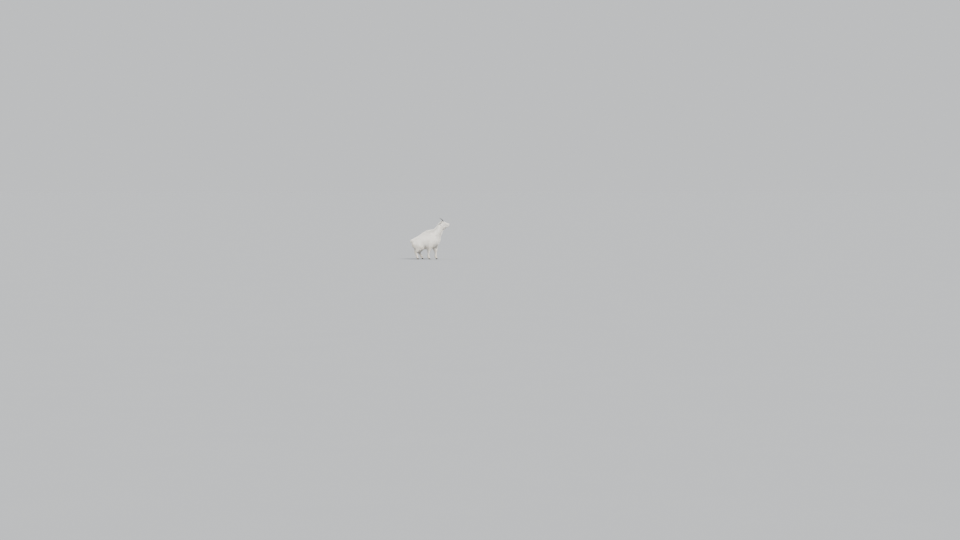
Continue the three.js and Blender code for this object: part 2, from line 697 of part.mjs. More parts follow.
const tailLocks = rowsOfLocks(
  cores.tail(),
  TAIL,
  [
    { ...FREE, angle: 180, from: 0.35, to: 0.98, count: 3, length: 50, width: 46, lie: [-0.35, 0, -1] },
    ...bothSides([
      { ...FREE, angle: 100, from: 0.5, to: 0.98, count: 1, length: 50, width: 40, lie: [-0.1, 0.15, -1] },
    ]),
  ],
  41,
);

function legLocks(pair, side) {
  const out = sides[side];
  if (pair === "front") {
    const around = [10, 80, 145, 205, -60];
    const rows = around.map((angle, i) => ({
      ...FLAT,
      angle: out * angle,
      from: 0.33 + 0.02 * (i % 2),
      to: 0.52,
      count: 2,
      length: 125,
      width: 78,
      lie: [-0.1, 0, -1],
    }));
    return rowsOfLocks(cores.leg(pair, side), frontLeg(side), rows, 51 + out);
  }
  const { thigh, shank } = hindLeg(side);
  const line = [
    { ...thigh[0], x: -430 },
    { ...thigh[1], x: thigh[1].x - 30 },
    { ...shank[1], x: shank[1].x + 10, z: shank[1].z + 60 },
    shank[1],
    shank[2],
  ];
  const around = [26, 76, 122, 165, 208];
  const rows = around.map((angle, i) => ({
    ...FLAT,
    angle: out * angle,
    from: 0.2 + 0.06 * (i % 2),
    to: 0.82,
    count: angle === 26 ? 2 : 3,
    length: 135,
    width: 88,
    lie: [-0.35, 0, -1],
  }));
  return rowsOfLocks(cores.leg(pair, side), line, rows, 61 + out);
}

// Locks of one node, grown, that come as near as their width to the plane to a neighbour.
function crossing(locks, plane, sign) {
  const normal = vec(...plane.normal).normalize().multiplyScalar(sign);
  const limit = normal.dot(vec(...plane.at));
  const near = ({ root, bend, tip, width }) =>
    [root, bend, tip].some((point) => normal.dot(point) > limit - width);
  return locks.filter(near).map((one) => lock(one, GAP));
}

const withLocks = (core, locks) => joined([core, ...locks.map((one) => lock(one))]);

function head() {
  let body = withLocks(cores.head(), headLocks);
  for (const side of Object.keys(sides)) {
    body = body.subtract(eye(side, GAP)).subtract(lidOpening(side)).subtract(nostril(side));
    body = body.subtract(horn(side, GAP)).subtract(ear(side, GAP));
  }
  return largest(body.subtract(mouthLine()));
}

function neck() {
  let body = withLocks(cores.neck(), neckLocks);
  body = body.subtract(joined([cores.head(GAP), ...crossing(headLocks, HEAD_CUT, -1)]));
  for (const side of Object.keys(sides)) body = body.subtract(ear(side, GAP));
  return largest(body);
}

function torso() {
  const body = withLocks(cores.torso(), torsoLocks);
  return largest(body.subtract(joined([cores.neck(GAP), ...crossing(neckLocks, NECK_CUT, -1)])));
}

const torsoGrown = {
  front: joined([cores.torso(GAP), ...crossing(torsoLocks, level(LEG_CUT.front.upper), -1)]),
  hind: joined([cores.torso(GAP), ...crossing(torsoLocks, level(LEG_CUT.hind.upper), -1)]),
};

function upperLeg(pair, side) {
  const body = withLocks(cores.leg(pair, side), legLocks(pair, side));
  return largest(body.subtract(torsoGrown[pair]));
}

function lowerLeg(pair, side) {
  const form = trimmed(legForm(pair, side, 1), level(LEG_CUT[pair].lower), -1, GAP / 2);
  let body = trimmed(form, level(CLAW.height), 1, GAP);
  for (const hair of crossing(legLocks(pair, side), level(LEG_CUT[pair].lower), -1)) {
    body = body.subtract(hair);
  }
  for (const place of ["inner", "outer"]) {
    body = body.subtract(dewclaw(pair, side, place, GAP));
  }
  return largest(body);
}

function tail() {
  const past = crossing(torsoLocks, TAIL_CUT, -1);
  return largest(withLocks(cores.tail(), tailLocks).subtract(joined([cores.torso(GAP), ...past])));
}

const goat = new THREE.Group();

function add(name, body, look) {
  const mesh = new THREE.Mesh(surface(body), new THREE.MeshStandardMaterial(COLOURS[look]));
  mesh.name = name;
  goat.add(mesh);
}

add("head", head(), "coat");
add("neck", neck(), "coat");
add("torso", torso(), "coat");
add("tail", tail(), "coat");
for (const side of Object.keys(sides)) {
  add(`ear_${side}`, ear(side), "coat");
  add(`eye_${side}`, eye(side), "eye");
  add(`horn_${side}`, horn(side), "horn");
  for (const pair of Object.keys(LEG_CUT)) {
    add(`leg_${pair}_${side}_upper`, upperLeg(pair, side), "coat");
    add(`leg_${pair}_${side}_lower`, lowerLeg(pair, side), "coat");
    for (const place of ["inner", "outer"]) {
      add(`hoof_${pair}_${side}_${place}`, claw(pair, side, place), "hoof");
      add(`dewclaw_${pair}_${side}_${place}`, dewclaw(pair, side, place), "hoof");
    }
  }
}

// The origin goes under the middle of the whole animal.
const extent = new THREE.Box3().setFromObject(goat);
const middle = extent.getCenter(new THREE.Vector3());
goat.position.set(-middle.x, -middle.y, -extent.min.z);

export default goat;
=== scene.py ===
"""A mountain goat in its long autumn coat, standing with its head up and its hindquarters low.

The shapes are worked out in millimetres in the goat's own axes: X runs forward from below the hump of the
shoulders, Y to the goat's left, and Z up from the floor. Meshes are stored in the frame's metres.
"""

import math

import bmesh
import bpy
import numpy as np
from mathutils import Matrix, Vector
from mathutils.kdtree import KDTree


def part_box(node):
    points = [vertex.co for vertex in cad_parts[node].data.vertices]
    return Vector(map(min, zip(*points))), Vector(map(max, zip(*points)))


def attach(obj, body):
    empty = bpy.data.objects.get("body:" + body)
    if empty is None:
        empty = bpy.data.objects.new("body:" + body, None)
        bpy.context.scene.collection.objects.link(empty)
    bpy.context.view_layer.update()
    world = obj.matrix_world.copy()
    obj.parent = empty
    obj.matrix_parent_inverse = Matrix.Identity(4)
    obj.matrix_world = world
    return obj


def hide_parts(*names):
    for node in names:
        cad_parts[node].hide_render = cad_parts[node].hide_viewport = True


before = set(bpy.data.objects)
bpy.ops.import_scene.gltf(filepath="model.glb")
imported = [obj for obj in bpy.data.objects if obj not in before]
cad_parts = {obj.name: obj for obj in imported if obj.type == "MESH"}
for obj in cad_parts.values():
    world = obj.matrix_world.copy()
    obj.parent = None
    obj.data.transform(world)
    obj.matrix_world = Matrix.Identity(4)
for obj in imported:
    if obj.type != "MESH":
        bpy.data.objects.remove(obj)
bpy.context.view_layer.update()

MM = 0.001
SIDES = {"right": -1, "left": 1}
DRAW = np.random.default_rng(7)

# Where the tail's front face stands on the goat's own X, which places the goat in the frame.
TAIL_FACE = -604.15


def frame_shift():
    """The frame's place of the goat's own origin, from the tail's front face and the two eyes."""
    eyes = [sum(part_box(f"eye_{side}"), Vector()) / 2 for side in SIDES]
    return np.array([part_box("tail")[1].x - TAIL_FACE * MM, (eyes[0].y + eyes[1].y) / 2, 0.0])


SHIFT = frame_shift()

# The head's own axes have x from the back of the skull to the nose and z up. Angles are in degrees.
HEAD = {"x": 404, "z": 1272, "pitch": 8}
EYE = {"x": 138, "y": 46, "z": 34, "radius": 14.5, "lid": 18.2}
LIDS = {"half": 13.4, "upper": 6.6, "lower": 5.4, "thick": 1.5, "brow": 0.7}
HORN = {"x": 114, "y": 17, "z": 66, "length": 222, "base": 18, "tip": 0.9, "root": 16}
HORN |= {"lean": 22, "bend": 62, "spread": 11}
EAR = {"x": 58, "y": 52, "z": 44, "length": 118}
# Each foot's place along the goat, and half the width that a pair of feet stands apart.
FOOT = {"front": {"right": 16, "left": 268}, "hind": {"right": -388, "left": -232}}
TRACK = {"front": 104, "hind": 112}
# How far behind its foot each knee is, and the place from which the elbows follow the feet.
KNEE_BEHIND = {"right": 6, "left": 30}
ELBOW_X = 112
CORONET_Z = 42
CLAW = {"length": 68, "width": 29, "height": 46, "splay": 5, "apart": 15.5, "ahead": 13}
DEWCLAW = {"radius": 9, "length": 32, "lean": 35, "apart": 13.6, "behind": 45, "z": 100}

# How much of the coat's depth is dense underfur, which is the skin's surface here.
UNDERFUR = 0.42
# The share of the coat past which the head's hollows are hidden.
HOLLOWS_HIDDEN = 0.9
# Sizes small enough to count as nothing, which also keep a division from one by nothing.
TINY = 1e-3
LEAST = 1e-6


def unit(vectors):
    """Vectors made one long, along the last axis."""
    size = np.linalg.norm(vectors, axis=-1, keepdims=True)
    return vectors / np.maximum(size, 1e-9)


def step_up(low, high, values):
    """0 below `low`, 1 above `high`, and a smooth rise between."""
    t = np.clip((values - low) / (high - low), 0, 1)
    return t * t * (3 - 2 * t)


def bump(values, middle, width):
    """1 at the middle, falling away smoothly over a width on both sides."""
    return np.exp(-(((values - middle) / width) ** 2))


def blended(a, b, k):
    """The union of two fields, with a fillet about `k` across."""
    h = np.clip(0.5 + 0.5 * (b - a) / k, 0, 1)
    return b * (1 - h) + a * h - k * h * (1 - h)


def carved(a, b, k):
    """Field `a` with the inside of `b` taken out, with an edge rounded by `k`."""
    return -blended(-a, b, k)


def section(x, y, z, up, down, side, coat=(0, 0, 0), ridge=0):
    """One section of a form: its centre, its reach up, down and sideways, its coat's depth in those
    three ways, and how far its upper side narrows to a ridge."""
    return [x, y, z, up, down, side, *coat, ridge]


def band(x, top, bottom, side, coat, ridge=0):
    """A section given by its top and bottom heights instead."""
    half = (top - bottom) / 2
    return section(x, 0, (top + bottom) / 2, half, half, side, coat, ridge)


TRUNK = [
    band(-588, 676, 590, 62, (24, 26, 26)),
    band(-560, 706, 560, 98, (30, 34, 30)),
    band(-505, 728, 532, 126, (34, 56, 36)),
    band(-430, 751, 510, 144, (40, 90, 42), 0.05),
    band(-330, 797, 495, 155, (48, 118, 46), 0.12),
    band(-205, 862, 484, 163, (58, 132, 46), 0.22),
    band(-85, 922, 478, 160, (74, 130, 46), 0.34),
    band(20, 963, 474, 152, (86, 118, 46), 0.42),
    band(115, 958, 472, 143, (92, 104, 48), 0.42),
    band(205, 908, 478, 130, (88, 98, 50), 0.3),
    band(280, 838, 502, 106, (76, 92, 52), 0.15),
    band(328, 762, 548, 74, (62, 84, 48)),
]
NECK = [
    section(120, 0, 800, 150, 150, 120, (74, 70, 40)),
    section(225, 0, 888, 120, 130, 104, (72, 84, 42)),
    section(303, 0, 982, 98, 110, 84, (56, 82, 40)),
    section(358, 0, 1076, 84, 96, 72, (46, 66, 36)),
    section(402, 0, 1166, 74, 84, 64, (38, 48, 30)),
    section(436, 0, 1240, 62, 66, 54, (32, 26, 20)),
]
FACE_COAT = (7, 6, 7)
SKULL = [
    band(-4, 32, -56, 40, (16, 18, 14)),
    band(22, 52, -76, 53, (15, 18, 14)),
    band(60, 67, -88, 60, (13, 16, 12)),
    band(100, 74, -88, 61, (10, 8, 9)),
    band(136, 70, -84, 56, FACE_COAT),
    band(175, 60, -76, 48, FACE_COAT),
    band(215, 50, -61, 43, FACE_COAT),
    band(255, 43, -48, 41, (5, 4, 5)),
    band(290, 37, -44, 41, (3, 2, 3)),
    band(318, 27, -39, 35, (2, 1, 2)),
]
JAW = [
    band(52, -28, -88, 42, (10, 26, 14)),
    band(92, -30, -101, 45, (8, 24, 12)),
    band(140, -26, -98, 42, (6, 18, 9)),
    band(190, -22, -90, 38, (5, 14, 7)),
    band(240, -22, -82, 35, (4, 11, 5)),
    band(284, -24, -76, 32, (3, 8, 4)),
    band(308, -28, -69, 27, (2, 5, 3)),
]
TAIL = [
    section(-570, 0, 690, 22, 22, 24, (10, 10, 12)),
    section(-606, 0, 672, 18, 18, 20, (18, 14, 18)),
    section(-624, 0, 636, 13, 13, 15, (16, 14, 18)),
    section(-629, 0, 594, 8, 8, 10, (14, 12, 14)),
]


def front_leg(side):
    """The front leg's sections from the shoulder to the coronet."""
    foot = FOOT["front"][side]
    y = SIDES[side] * TRACK["front"]
    knee = foot - KNEE_BEHIND[side]
    elbow = ELBOW_X + 0.62 * (foot - ELBOW_X)
    return [
        section(172, y * 0.66, 720, 76, 80, 52, (24, 24, 34)),
        section(105 + 0.3 * elbow, y * 0.92, 610, 84, 84, 60, (36, 40, 38)),
        section(elbow, y * 1.04, 500, 64, 68, 50, (46, 52, 40)),
        section((elbow + knee) / 2, y * 1.03, 405, 46, 48, 38, (42, 50, 36)),
        section(knee, y, 312, 34, 32, 31, (24, 32, 20)),
        section(knee - 2, y, 278, 30, 28, 28, (12, 20, 12)),
        section(foot - 20, y, 208, 22, 24, 20, (8, 11, 8)),
        section(foot - 25, y, 142, 23, 26, 21, (8, 11, 8)),
        section(foot - 26, y, 106, 28, 30, 26, (8, 12, 8)),
        section(foot - 12, y, 70, 25, 26, 26, (7, 10, 7)),
        section(foot, y, CORONET_Z, 31, 31, 30, (5, 6, 5)),
    ]


def hind_leg(side):
    """The hind leg's forms: thigh, ham, shank, and the leg from the hock to the coronet."""
    foot = FOOT["hind"][side]
    y = SIDES[side] * TRACK["hind"]
    reach = foot - FOOT["hind"]["right"]
    stifle = (-270 + 0.3 * reach, y * 1.12, 434 + 0.1 * reach)
    hock = (-470 + 0.72 * reach, y, 264 - 0.06 * reach)
    middle = [(a + b) / 2 for a, b in zip(stifle, hock)]
    upper = (46, 60, 44)
    down = foot - hock[0]
    return {
        "thigh": [
            section(-430, y * 0.6, 670, 70, 80, 56, (20, 30, 30)),
            section((-440 + stifle[0]) / 2, y * 1.04, 550, 100, 96, 62, (44, 60, 42)),
            section(*stifle, 62, 70, 48, upper),
        ],
        "ham": [
            section(-500, y * 0.5, 640, 60, 60, 44, (20, 30, 30)),
            section(-505 + 0.15 * reach, y * 0.9, 540, 70, 58, 56, (40, 50, 42)),
            section(middle[0] - 14, y * 1.04, middle[2] + 46, 52, 46, 42, upper),
        ],
        "shank": [
            section(*stifle, 58, 62, 46, upper),
            section(*middle, 44, 48, 37, (38, 50, 36)),
            section(hock[0] + 6, hock[1], hock[2] + 6, 28, 30, 26, (20, 30, 20)),
        ],
        "foot": [
            section(hock[0] - 10, y, hock[2] + 26, 26, 22, 22, (14, 22, 14)),
            section(hock[0], y, hock[2] - 4, 33, 30, 27, (12, 20, 14)),
            section(hock[0] + 0.24 * down, y, 208, 24, 25, 22, (9, 14, 9)),
            section(hock[0] + 0.6 * down, y, 142, 24, 26, 22, (8, 11, 8)),
            section(foot - 27, y, 106, 29, 31, 27, (8, 12, 8)),
            section(foot - 12, y, 70, 26, 27, 27, (7, 10, 7)),
            section(foot, y, CORONET_Z, 31, 31, 30, (5, 6, 5)),
        ],
    }


# Two places closer together than this, as the root of their distance, count as one.
SAME_PLACE = 1e-2


def smooth_line(rows, steps):
    """A centripetal curve through each row of numbers, with `steps` points to a span."""
    rows = np.asarray(rows, float)
    ends = np.vstack([2 * rows[0] - rows[1], rows, 2 * rows[-1] - rows[-2]])
    knots = np.sqrt(np.linalg.norm(np.diff(ends, axis=0), axis=1))
    t = (np.arange(steps) / steps)[:, None]
    out = []
    for i in range(len(rows) - 1):
        a, b, c, d = ends[i : i + 4]
        mid = knots[i + 1] if knots[i + 1] > SAME_PLACE else 1.0
        before = knots[i] if knots[i] > SAME_PLACE else mid
        after = knots[i + 2] if knots[i + 2] > SAME_PLACE else mid
        leave = ((b - a) / before - (c - a) / (before + mid) + (c - b) / mid) * mid
        arrive = ((c - b) / mid - (d - b) / (mid + after) + (d - c) / after) * mid
        square = -3 * b + 3 * c - 2 * leave - arrive
        cube = 2 * b - 2 * c + leave + arrive
        out.append(b + leave * t + square * t**2 + cube * t**3)
    return np.vstack([*out, rows[-1:]])


def looked_up(table, where):
    """Rows of a table at places between its whole numbers."""
    low = np.minimum(where.astype(int), len(table) - 2)
    share = (where - low)[:, None]
    return table[low] * (1 - share) + table[low + 1] * share


class Form:
    """A run of rounded sections along a smooth line, as a field of millimetres from its surface.

    A section is round where `square` is 2 and boxier above it. `cap` is how far the ends bulge, as a share
    of their radius.
    """

    # Points of the line to each span, and rounds in which a point finds its place along it.
    steps = 8
    rounds = 5

    def __init__(self, rows, square=2.0, cap=0.6):
        self.rows = np.array(rows, float)
        self.line = smooth_line(self.rows[:, :3], self.steps)
        run = unit(np.gradient(self.line, axis=0))
        up = unit(np.cross(run, (0, 1, 0)))
        self.axes = np.hstack([run, up, np.cross(up, run)])
        self.pace = np.gradient(self.line, axis=0)
        self.ridge = smooth_line(self.rows[:, 9:10], self.steps)
        self.square = square
        self.cap = cap
        self.radii = {}

    def reach(self, coat):
        """Radii up, down and sideways along the line, with that share of the coat."""
        if coat not in self.radii:
            rows = self.rows[:, 3:6] + coat * self.rows[:, 6:9]
            self.radii[coat] = smooth_line(rows, self.steps)
        return self.radii[coat]

    def place(self, points):
        """Where along the line each point is, as a number of steps."""
        coarse = self.line[:: self.steps]
        far = ((points[:, None] - coarse[None]) ** 2).sum(-1)
        where = far.argmin(1) * float(self.steps)
        for _ in range(self.rounds):
            pace = looked_up(self.pace, where)
            off = points - looked_up(self.line, where)
            move = (off * pace).sum(1) / (pace**2).sum(1)
            where = np.clip(where + move, 0, len(self.line) - 1)
        return where

    def near(self, points, coat, margin):
        """Which points lie in the form's box, widened by a margin."""
        wide = self.reach(coat).max() + margin
        low, high = self.line.min(0) - wide, self.line.max(0) + wide
        return ((points > low) & (points < high)).all(1)

    def field(self, points, coat):
        """Millimetres outside the form, or inside it where below zero."""
        where = self.place(points)
        off = points - looked_up(self.line, where)
        axes = looked_up(self.axes, where)
        run, up, across = axes[:, :3], axes[:, 3:6], axes[:, 6:]
        radii = looked_up(self.reach(coat), where)
        ridge = looked_up(self.ridge, where)[:, 0]
        a = (off * up).sum(1) + TINY
        b = (off * across).sum(1)
        past = np.where((where <= 0) | (where >= len(self.line) - 1), (off * run).sum(1), 0)
        tall = np.where(a > 0, radii[:, 0], radii[:, 1])
        wide = radii[:, 2] * (1 - ridge * np.clip(a / tall, 0, 1))
        power = self.square
        around = (np.abs(a / tall) ** power + np.abs(b / wide) ** power) ** (1 / power)
        end = self.cap * np.minimum(radii[:, 0], radii[:, 2])
        ratio = np.maximum(np.hypot(around, past / end), LEAST)
        size = np.sqrt(a * a + b * b + past * past)
        return size - size / ratio


def head_turn():
    """The head's axes as rows."""
    angle = math.radians(HEAD["pitch"])
    ahead = [math.cos(angle), 0, -math.sin(angle)]
    return np.array([ahead, [0, 1, 0], [-ahead[2], 0, ahead[0]]])


HEAD_AXES = head_turn()
HEAD_AT = np.array([HEAD["x"], 0, HEAD["z"]], float)


def out_of_head(points):
    """Points in the head's axes, in the goat's."""
    return np.asarray(points, float) @ HEAD_AXES + HEAD_AT


def into_head(points):
    """Points of the goat, in the head's axes."""
    return (points - HEAD_AT) @ HEAD_AXES.T


def on_left(points):
    """Points with those of the right side mirrored to the left."""
    return points * (1, 0, 1) + np.abs(points) * (0, 1, 0)


def eye_axes(side):
    """Rows that point ahead, up and outwards from the eye, in the head's axes."""
    look = unit(np.array([0.3, SIDES[side] * 0.95, 0.08]))
    ahead = np.array([1, 0, -0.2])
    ahead = unit(ahead - look * (ahead @ look))
    rise = np.cross(look, ahead) * SIDES[side]
    return np.array([ahead, rise if rise[2] > 0 else -rise, look])


def eye_centre(side):
    """The middle of the eyeball, in the head's axes."""
    return np.array([EYE["x"], SIDES[side] * EYE["y"], EYE["z"]], float)


def nostril_axes():
    """Rows along, across and out of the left nostril, in the head's axes."""
    out = unit(np.array(NOSTRIL["out"]))
    along = np.array(NOSTRIL["long"])
    along = unit(along - out * (along @ out))
    return np.array([along, np.cross(out, along), out])


def ball(points, centre, radii, axes=None):
    """The field of an ellipsoid."""
    off = points - np.asarray(centre, float) + TINY
    if axes is not None:
        off = off @ axes.T
    size = np.linalg.norm(off, axis=1)
    ratio = np.linalg.norm(off / np.asarray(radii, float), axis=1)
    return size - size / np.maximum(ratio, LEAST)


# Swellings of the head that come on both sides: centre, radii and fillet, in the head's axes.
CHEEKS = [
    ((78, 40, -46), (42, 17, 36), 18),
    ((128, 43, 8), (26, 15, 12), 14),
    ((165, 38, -2), (34, 12, 10), 14),
    ((205, 35, -8), (34, 11, 10), 14),
    ((133, 45, 51), (25, 13, 8), 9),
    ((108, 44, 52), (18, 13, 10), 10),
    ((311, 20, 6), (15, 15, 14), 8),
    ((300, 26, -20), (24, 13, 14), 8),
]
# Swellings on the middle line.
MUZZLE = [
    ((318, 0, 2), (16, 22, 20), 8),
    ((314, 0, -24), (20, 25, 13), 8),
    ((300, 0, -56), (22, 23, 14), 8),
    ((112, 0, 64), (30, 34, 16), 14),
]
# Hollows on both sides: before the eye, beside the bridge of the nose, and behind the eye.
HOLLOWS = [
    ((168, 52, 28), (14, 7, 8), 10),
    ((235, 50, 20), (34, 8, 9), 14),
    ((96, 64, 16), (14, 7, 10), 12),
]
NOSTRIL = {"at": (326, 23, 8), "radii": (10.5, 4.6, 12)}
NOSTRIL |= {"long": (0.2, 0.75, 0.62), "out": (0.78, 0.5, 0.2)}
# How much the head's swellings grow with the whole coat.
SWELLING_COAT = 3

skull = Form(SKULL, square=2.3, cap=0.42)
jaw = Form(JAW, square=2.3, cap=0.42)


def head_field(points, coat):
    """The head's field, with its swellings, hollows, lids and nostrils."""
    inside = into_head(points)
    field = blended(skull.field(inside, coat), jaw.field(inside, coat), 10)
    mirrored = on_left(inside)
    thick = SWELLING_COAT * coat
    for centre, radii, k in CHEEKS:
        field = blended(field, ball(mirrored, centre, np.array(radii) + thick), k)
    for centre, radii, k in MUZZLE:
        field = blended(field, ball(inside, centre, np.array(radii) + thick * 0.5), k)
    axes = eye_axes("left")
    field = blended(field, ball(mirrored, eye_centre("left"), [EYE["lid"]] * 3), 7)
    if coat < HOLLOWS_HIDDEN:
        for centre, radii, k in HOLLOWS:
            field = carved(field, ball(mirrored, centre, radii), k)
        slit = (LIDS["half"], LIDS["lower"] + 0.6, 40)
        front = eye_centre("left") + axes[2] * (30 + EYE["radius"] * 0.2)
        field = carved(field, ball(mirrored, front, slit, axes), 1.5)
        field = carved(field, ball(mirrored, NOSTRIL["at"], NOSTRIL["radii"], nostril_axes()), 2.5)
    return field


# The fillet that joins each form of the body to those before it.
FILLETS = {"trunk": 1, "neck": 55, "front": 45, "thigh": 45, "ham": 40, "shank": 18, "foot": 18}
FILLETS |= {"tail": 14, "head": 26, "coronet": 6}
# Every form of the body but the head.
FORMS = {"trunk": Form(TRUNK), "neck": Form(NECK)}
for one_side in SIDES:
    FORMS[f"front_{one_side}"] = Form(front_leg(one_side))
    for part, part_rows in hind_leg(one_side).items():
        FORMS[f"{part}_{one_side}"] = Form(part_rows)
FORMS["tail"] = Form(TAIL)

# How far past a form's box its field is still worked out, the same for the head, and the value beyond.
MARGIN = 70
HEAD_MARGIN = 80
FAR = 400.0
# How far above the coronet the skin ends.
SKIN_END = 2.5


def body_field(points, coat):
    """The whole goat's field, with that share of the coat's depth."""
    total = np.full(len(points), FAR)
    for name, form in FORMS.items():
        near = form.near(points, coat, MARGIN)
        fillet = FILLETS[name.split("_")[0]]
        total[near] = blended(total[near], form.field(points[near], coat), fillet)
    near = skull.near(into_head(points), coat, HEAD_MARGIN)
    total[near] = blended(total[near], head_field(points[near], coat), FILLETS["head"])
    return carved(total, points[:, 2] - (CORONET_Z + SKIN_END), FILLETS["coronet"])


def planes(*spans):
    """Places along an axis, from spans of start, end and step."""
    return np.concatenate([np.arange(start, end, step, float) for start, end, step in spans])


# The planes of the grid along X, Y and Z, closer together over the head and the legs.
GRID = [
    planes((-700, 390, 9), (390, 760, 5)),
    planes((-250, -140, 9), (-140, 140, 6), (140, 250, 9)),
    planes((30, 480, 6), (480, 1110, 9), (1110, 1400, 5)),
]
# The fields are first worked out at each fourth place, and then fully where the surface is near.
SKIP = 4
BAND = 30


def spread(values, coarse, fine, axis):
    """Values on coarse places along one axis, drawn out to finer ones."""
    where = np.interp(fine, coarse, np.arange(len(coarse)))
    low = np.minimum(where.astype(int), len(coarse) - 2)
    share = (where - low).reshape([-1 if i == axis else 1 for i in range(3)])
    low_part = np.take(values, low, axis)
    return low_part * (1 - share) + np.take(values, low + 1, axis) * share


def field_grid(coat):
    """The goat's field on the grid."""
    coarse = [np.append(line[:-1:SKIP], line[-1]) for line in GRID]
    points = np.stack(np.meshgrid(*coarse, indexing="ij"), -1).reshape(-1, 3)
    values = body_field(points, coat).reshape([len(line) for line in coarse])
    for axis in range(3):
        values = spread(values, coarse[axis], GRID[axis], axis)
    near = np.nonzero(np.abs(values) < BAND)
    points = np.stack([GRID[axis][near[axis]] for axis in range(3)], -1)
    values[near] = body_field(points, coat)
    return values


def net(values):
    """A closed mesh of four-sided faces where the values pass through zero."""
    size = values.shape
    sums, ids, quads = [], [], []
    for axis in range(3):
        low = np.take(values, range(size[axis] - 1), axis)
        high = np.take(values, range(1, size[axis]), axis)
        cut = np.stack(np.nonzero((low < 0) != (high < 0)), -1)
        a, b = low[tuple(cut.T)], high[tuple(cut.T)]
        share = a / (a - b)
        at = np.stack([GRID[i][cut[:, i]] for i in range(3)], -1)
        at[:, axis] += share * (GRID[axis][cut[:, axis] + 1] - GRID[axis][cut[:, axis]])
        first, second = [i for i in range(3) if i != axis]
        corners = []
        for da, db in ((-1, -1), (0, -1), (0, 0), (-1, 0)):
            cell = cut.copy()
            cell[:, first] += da
            cell[:, second] += db
            corners.append(np.ravel_multi_index(tuple(cell.T), size))
            ids.append(corners[-1])
            sums.append(at)
        quad = np.stack(corners, -1)
        turn = (a < 0) == (axis == 1)
        quad[turn] = quad[turn, ::-1]
        quads.append(quad)
    cells, index = np.unique(np.concatenate(ids), return_inverse=True)
    sums = np.concatenate(sums)
    count = np.bincount(index)
    verts = np.stack([np.bincount(index, sums[:, i]) for i in range(3)], -1) / count[:, None]
    return verts, np.searchsorted(cells, np.concatenate(quads))


def face_normals(verts, faces):
    """Each face's normal, as long as its area."""
    a, b, c = verts[faces[:, 0]], verts[faces[:, 1]], verts[faces[:, 2]]
    if faces.shape[1] == 4:
        return np.cross(c - a, verts[faces[:, 3]] - b) / 2
    return np.cross(b - a, c - a) / 2


def gathered(values, index, count):
    """Rows of values summed by index."""
    return np.stack([np.bincount(index, values[:, i], count) for i in range(values.shape[1])], -1)


def normals_of(verts, faces):
    """Each point's normal."""
    flat = face_normals(verts, faces)
    index = faces.ravel()
    return unit(gathered(np.repeat(flat, faces.shape[1], 0), index, len(verts)))


def eased(verts, faces, share):
    """Points moved part of the way to the mean of their neighbours."""
    ring = np.roll(faces, 1, axis=1)
    mean = gathered(verts[ring.ravel()], faces.ravel(), len(verts))
    count = np.bincount(faces.ravel(), minlength=len(verts))[:, None]
    return verts + share * (mean / count - verts)


# How far a point of the skin moves at most in one round of settling.
SETTLING = 1.5


def settled(verts, faces, share, rounds=2):
    """Points evened out and set back on the skin's surface."""
    for _ in range(rounds):
        verts = eased(verts, faces, share)
        normals = normals_of(verts, faces)
        off = np.clip(body_field(verts, UNDERFUR), -SETTLING, SETTLING)
        verts = verts - off[:, None] * normals
    return verts


def finer(verts, faces, zone):
    """The mesh as triangles, with the faces of a zone split in four."""
    draft = bpy.data.meshes.new("draft")
    draft.from_pydata(verts.tolist(), [], faces.tolist())
    work = bmesh.new()
    work.from_mesh(draft)
    bpy.data.meshes.remove(draft)
    edges = [edge for edge in work.edges if all(zone[point.index] for point in edge.verts)]
    bmesh.ops.subdivide_edges(work, edges=edges, cuts=1, use_grid_fill=True)
    bmesh.ops.triangulate(work, faces=work.faces[:])
    verts = np.array([point.co[:] for point in work.verts])
    faces = np.array([[point.index for point in face.verts] for face in work.faces])
    work.free()
    return verts, faces


def face_zone(verts):
    """Points round the eyes, the nose and the mouth, which need the finest mesh."""
    inside = into_head(verts)
    above = lip_line(inside)[0]
    eyes = np.linalg.norm(on_left(inside) - eye_centre("left"), axis=1) < 25
    mouth = (inside[:, 0] > 214) & (np.abs(above) < 8)
    return eyes | mouth | (inside[:, 0] > 300)


def head_zone(verts):
    """Points of the head, which needs a finer mesh than the body."""
    inside = into_head(verts)
    return (inside[:, 0] > 0) & (inside[:, 2] > -112)


def skin_mesh():
    """The goat's skin out to the underfur, as points and triangles, finer over the head."""
    verts, faces = net(field_grid(UNDERFUR))
    verts = settled(verts, faces, 0.5)
    verts, faces = finer(verts, faces, head_zone(verts))
    verts = settled(verts, faces, 0.35)
    verts, faces = finer(verts, faces, face_zone(verts))
    return settled(verts, faces, 0.3), faces


# The mouth's line from its corner to the front, in the head's axes, and where it fades out at its corner.
MOUTH_X = (230, 246, 272, 300, 340)
MOUTH_Z = (-33, -35.2, -37.4, -38, -37.8)
MOUTH_CORNER = (224, 242)
# How deep the mouth's groove and the split of the upper lip are, and how proud lips and wrinkles stand.
FOLDS = {"groove": 3.6, "split": 2.6, "lips": 1.5, "wrinkle": 0.55}


def lip_line(inside):
    """How far above the mouth's line each point of the head is, and 1 in front of its corner."""
    line = np.interp(inside[:, 0], MOUTH_X, MOUTH_Z)
    return inside[:, 2] - line, step_up(*MOUTH_CORNER, inside[:, 0])


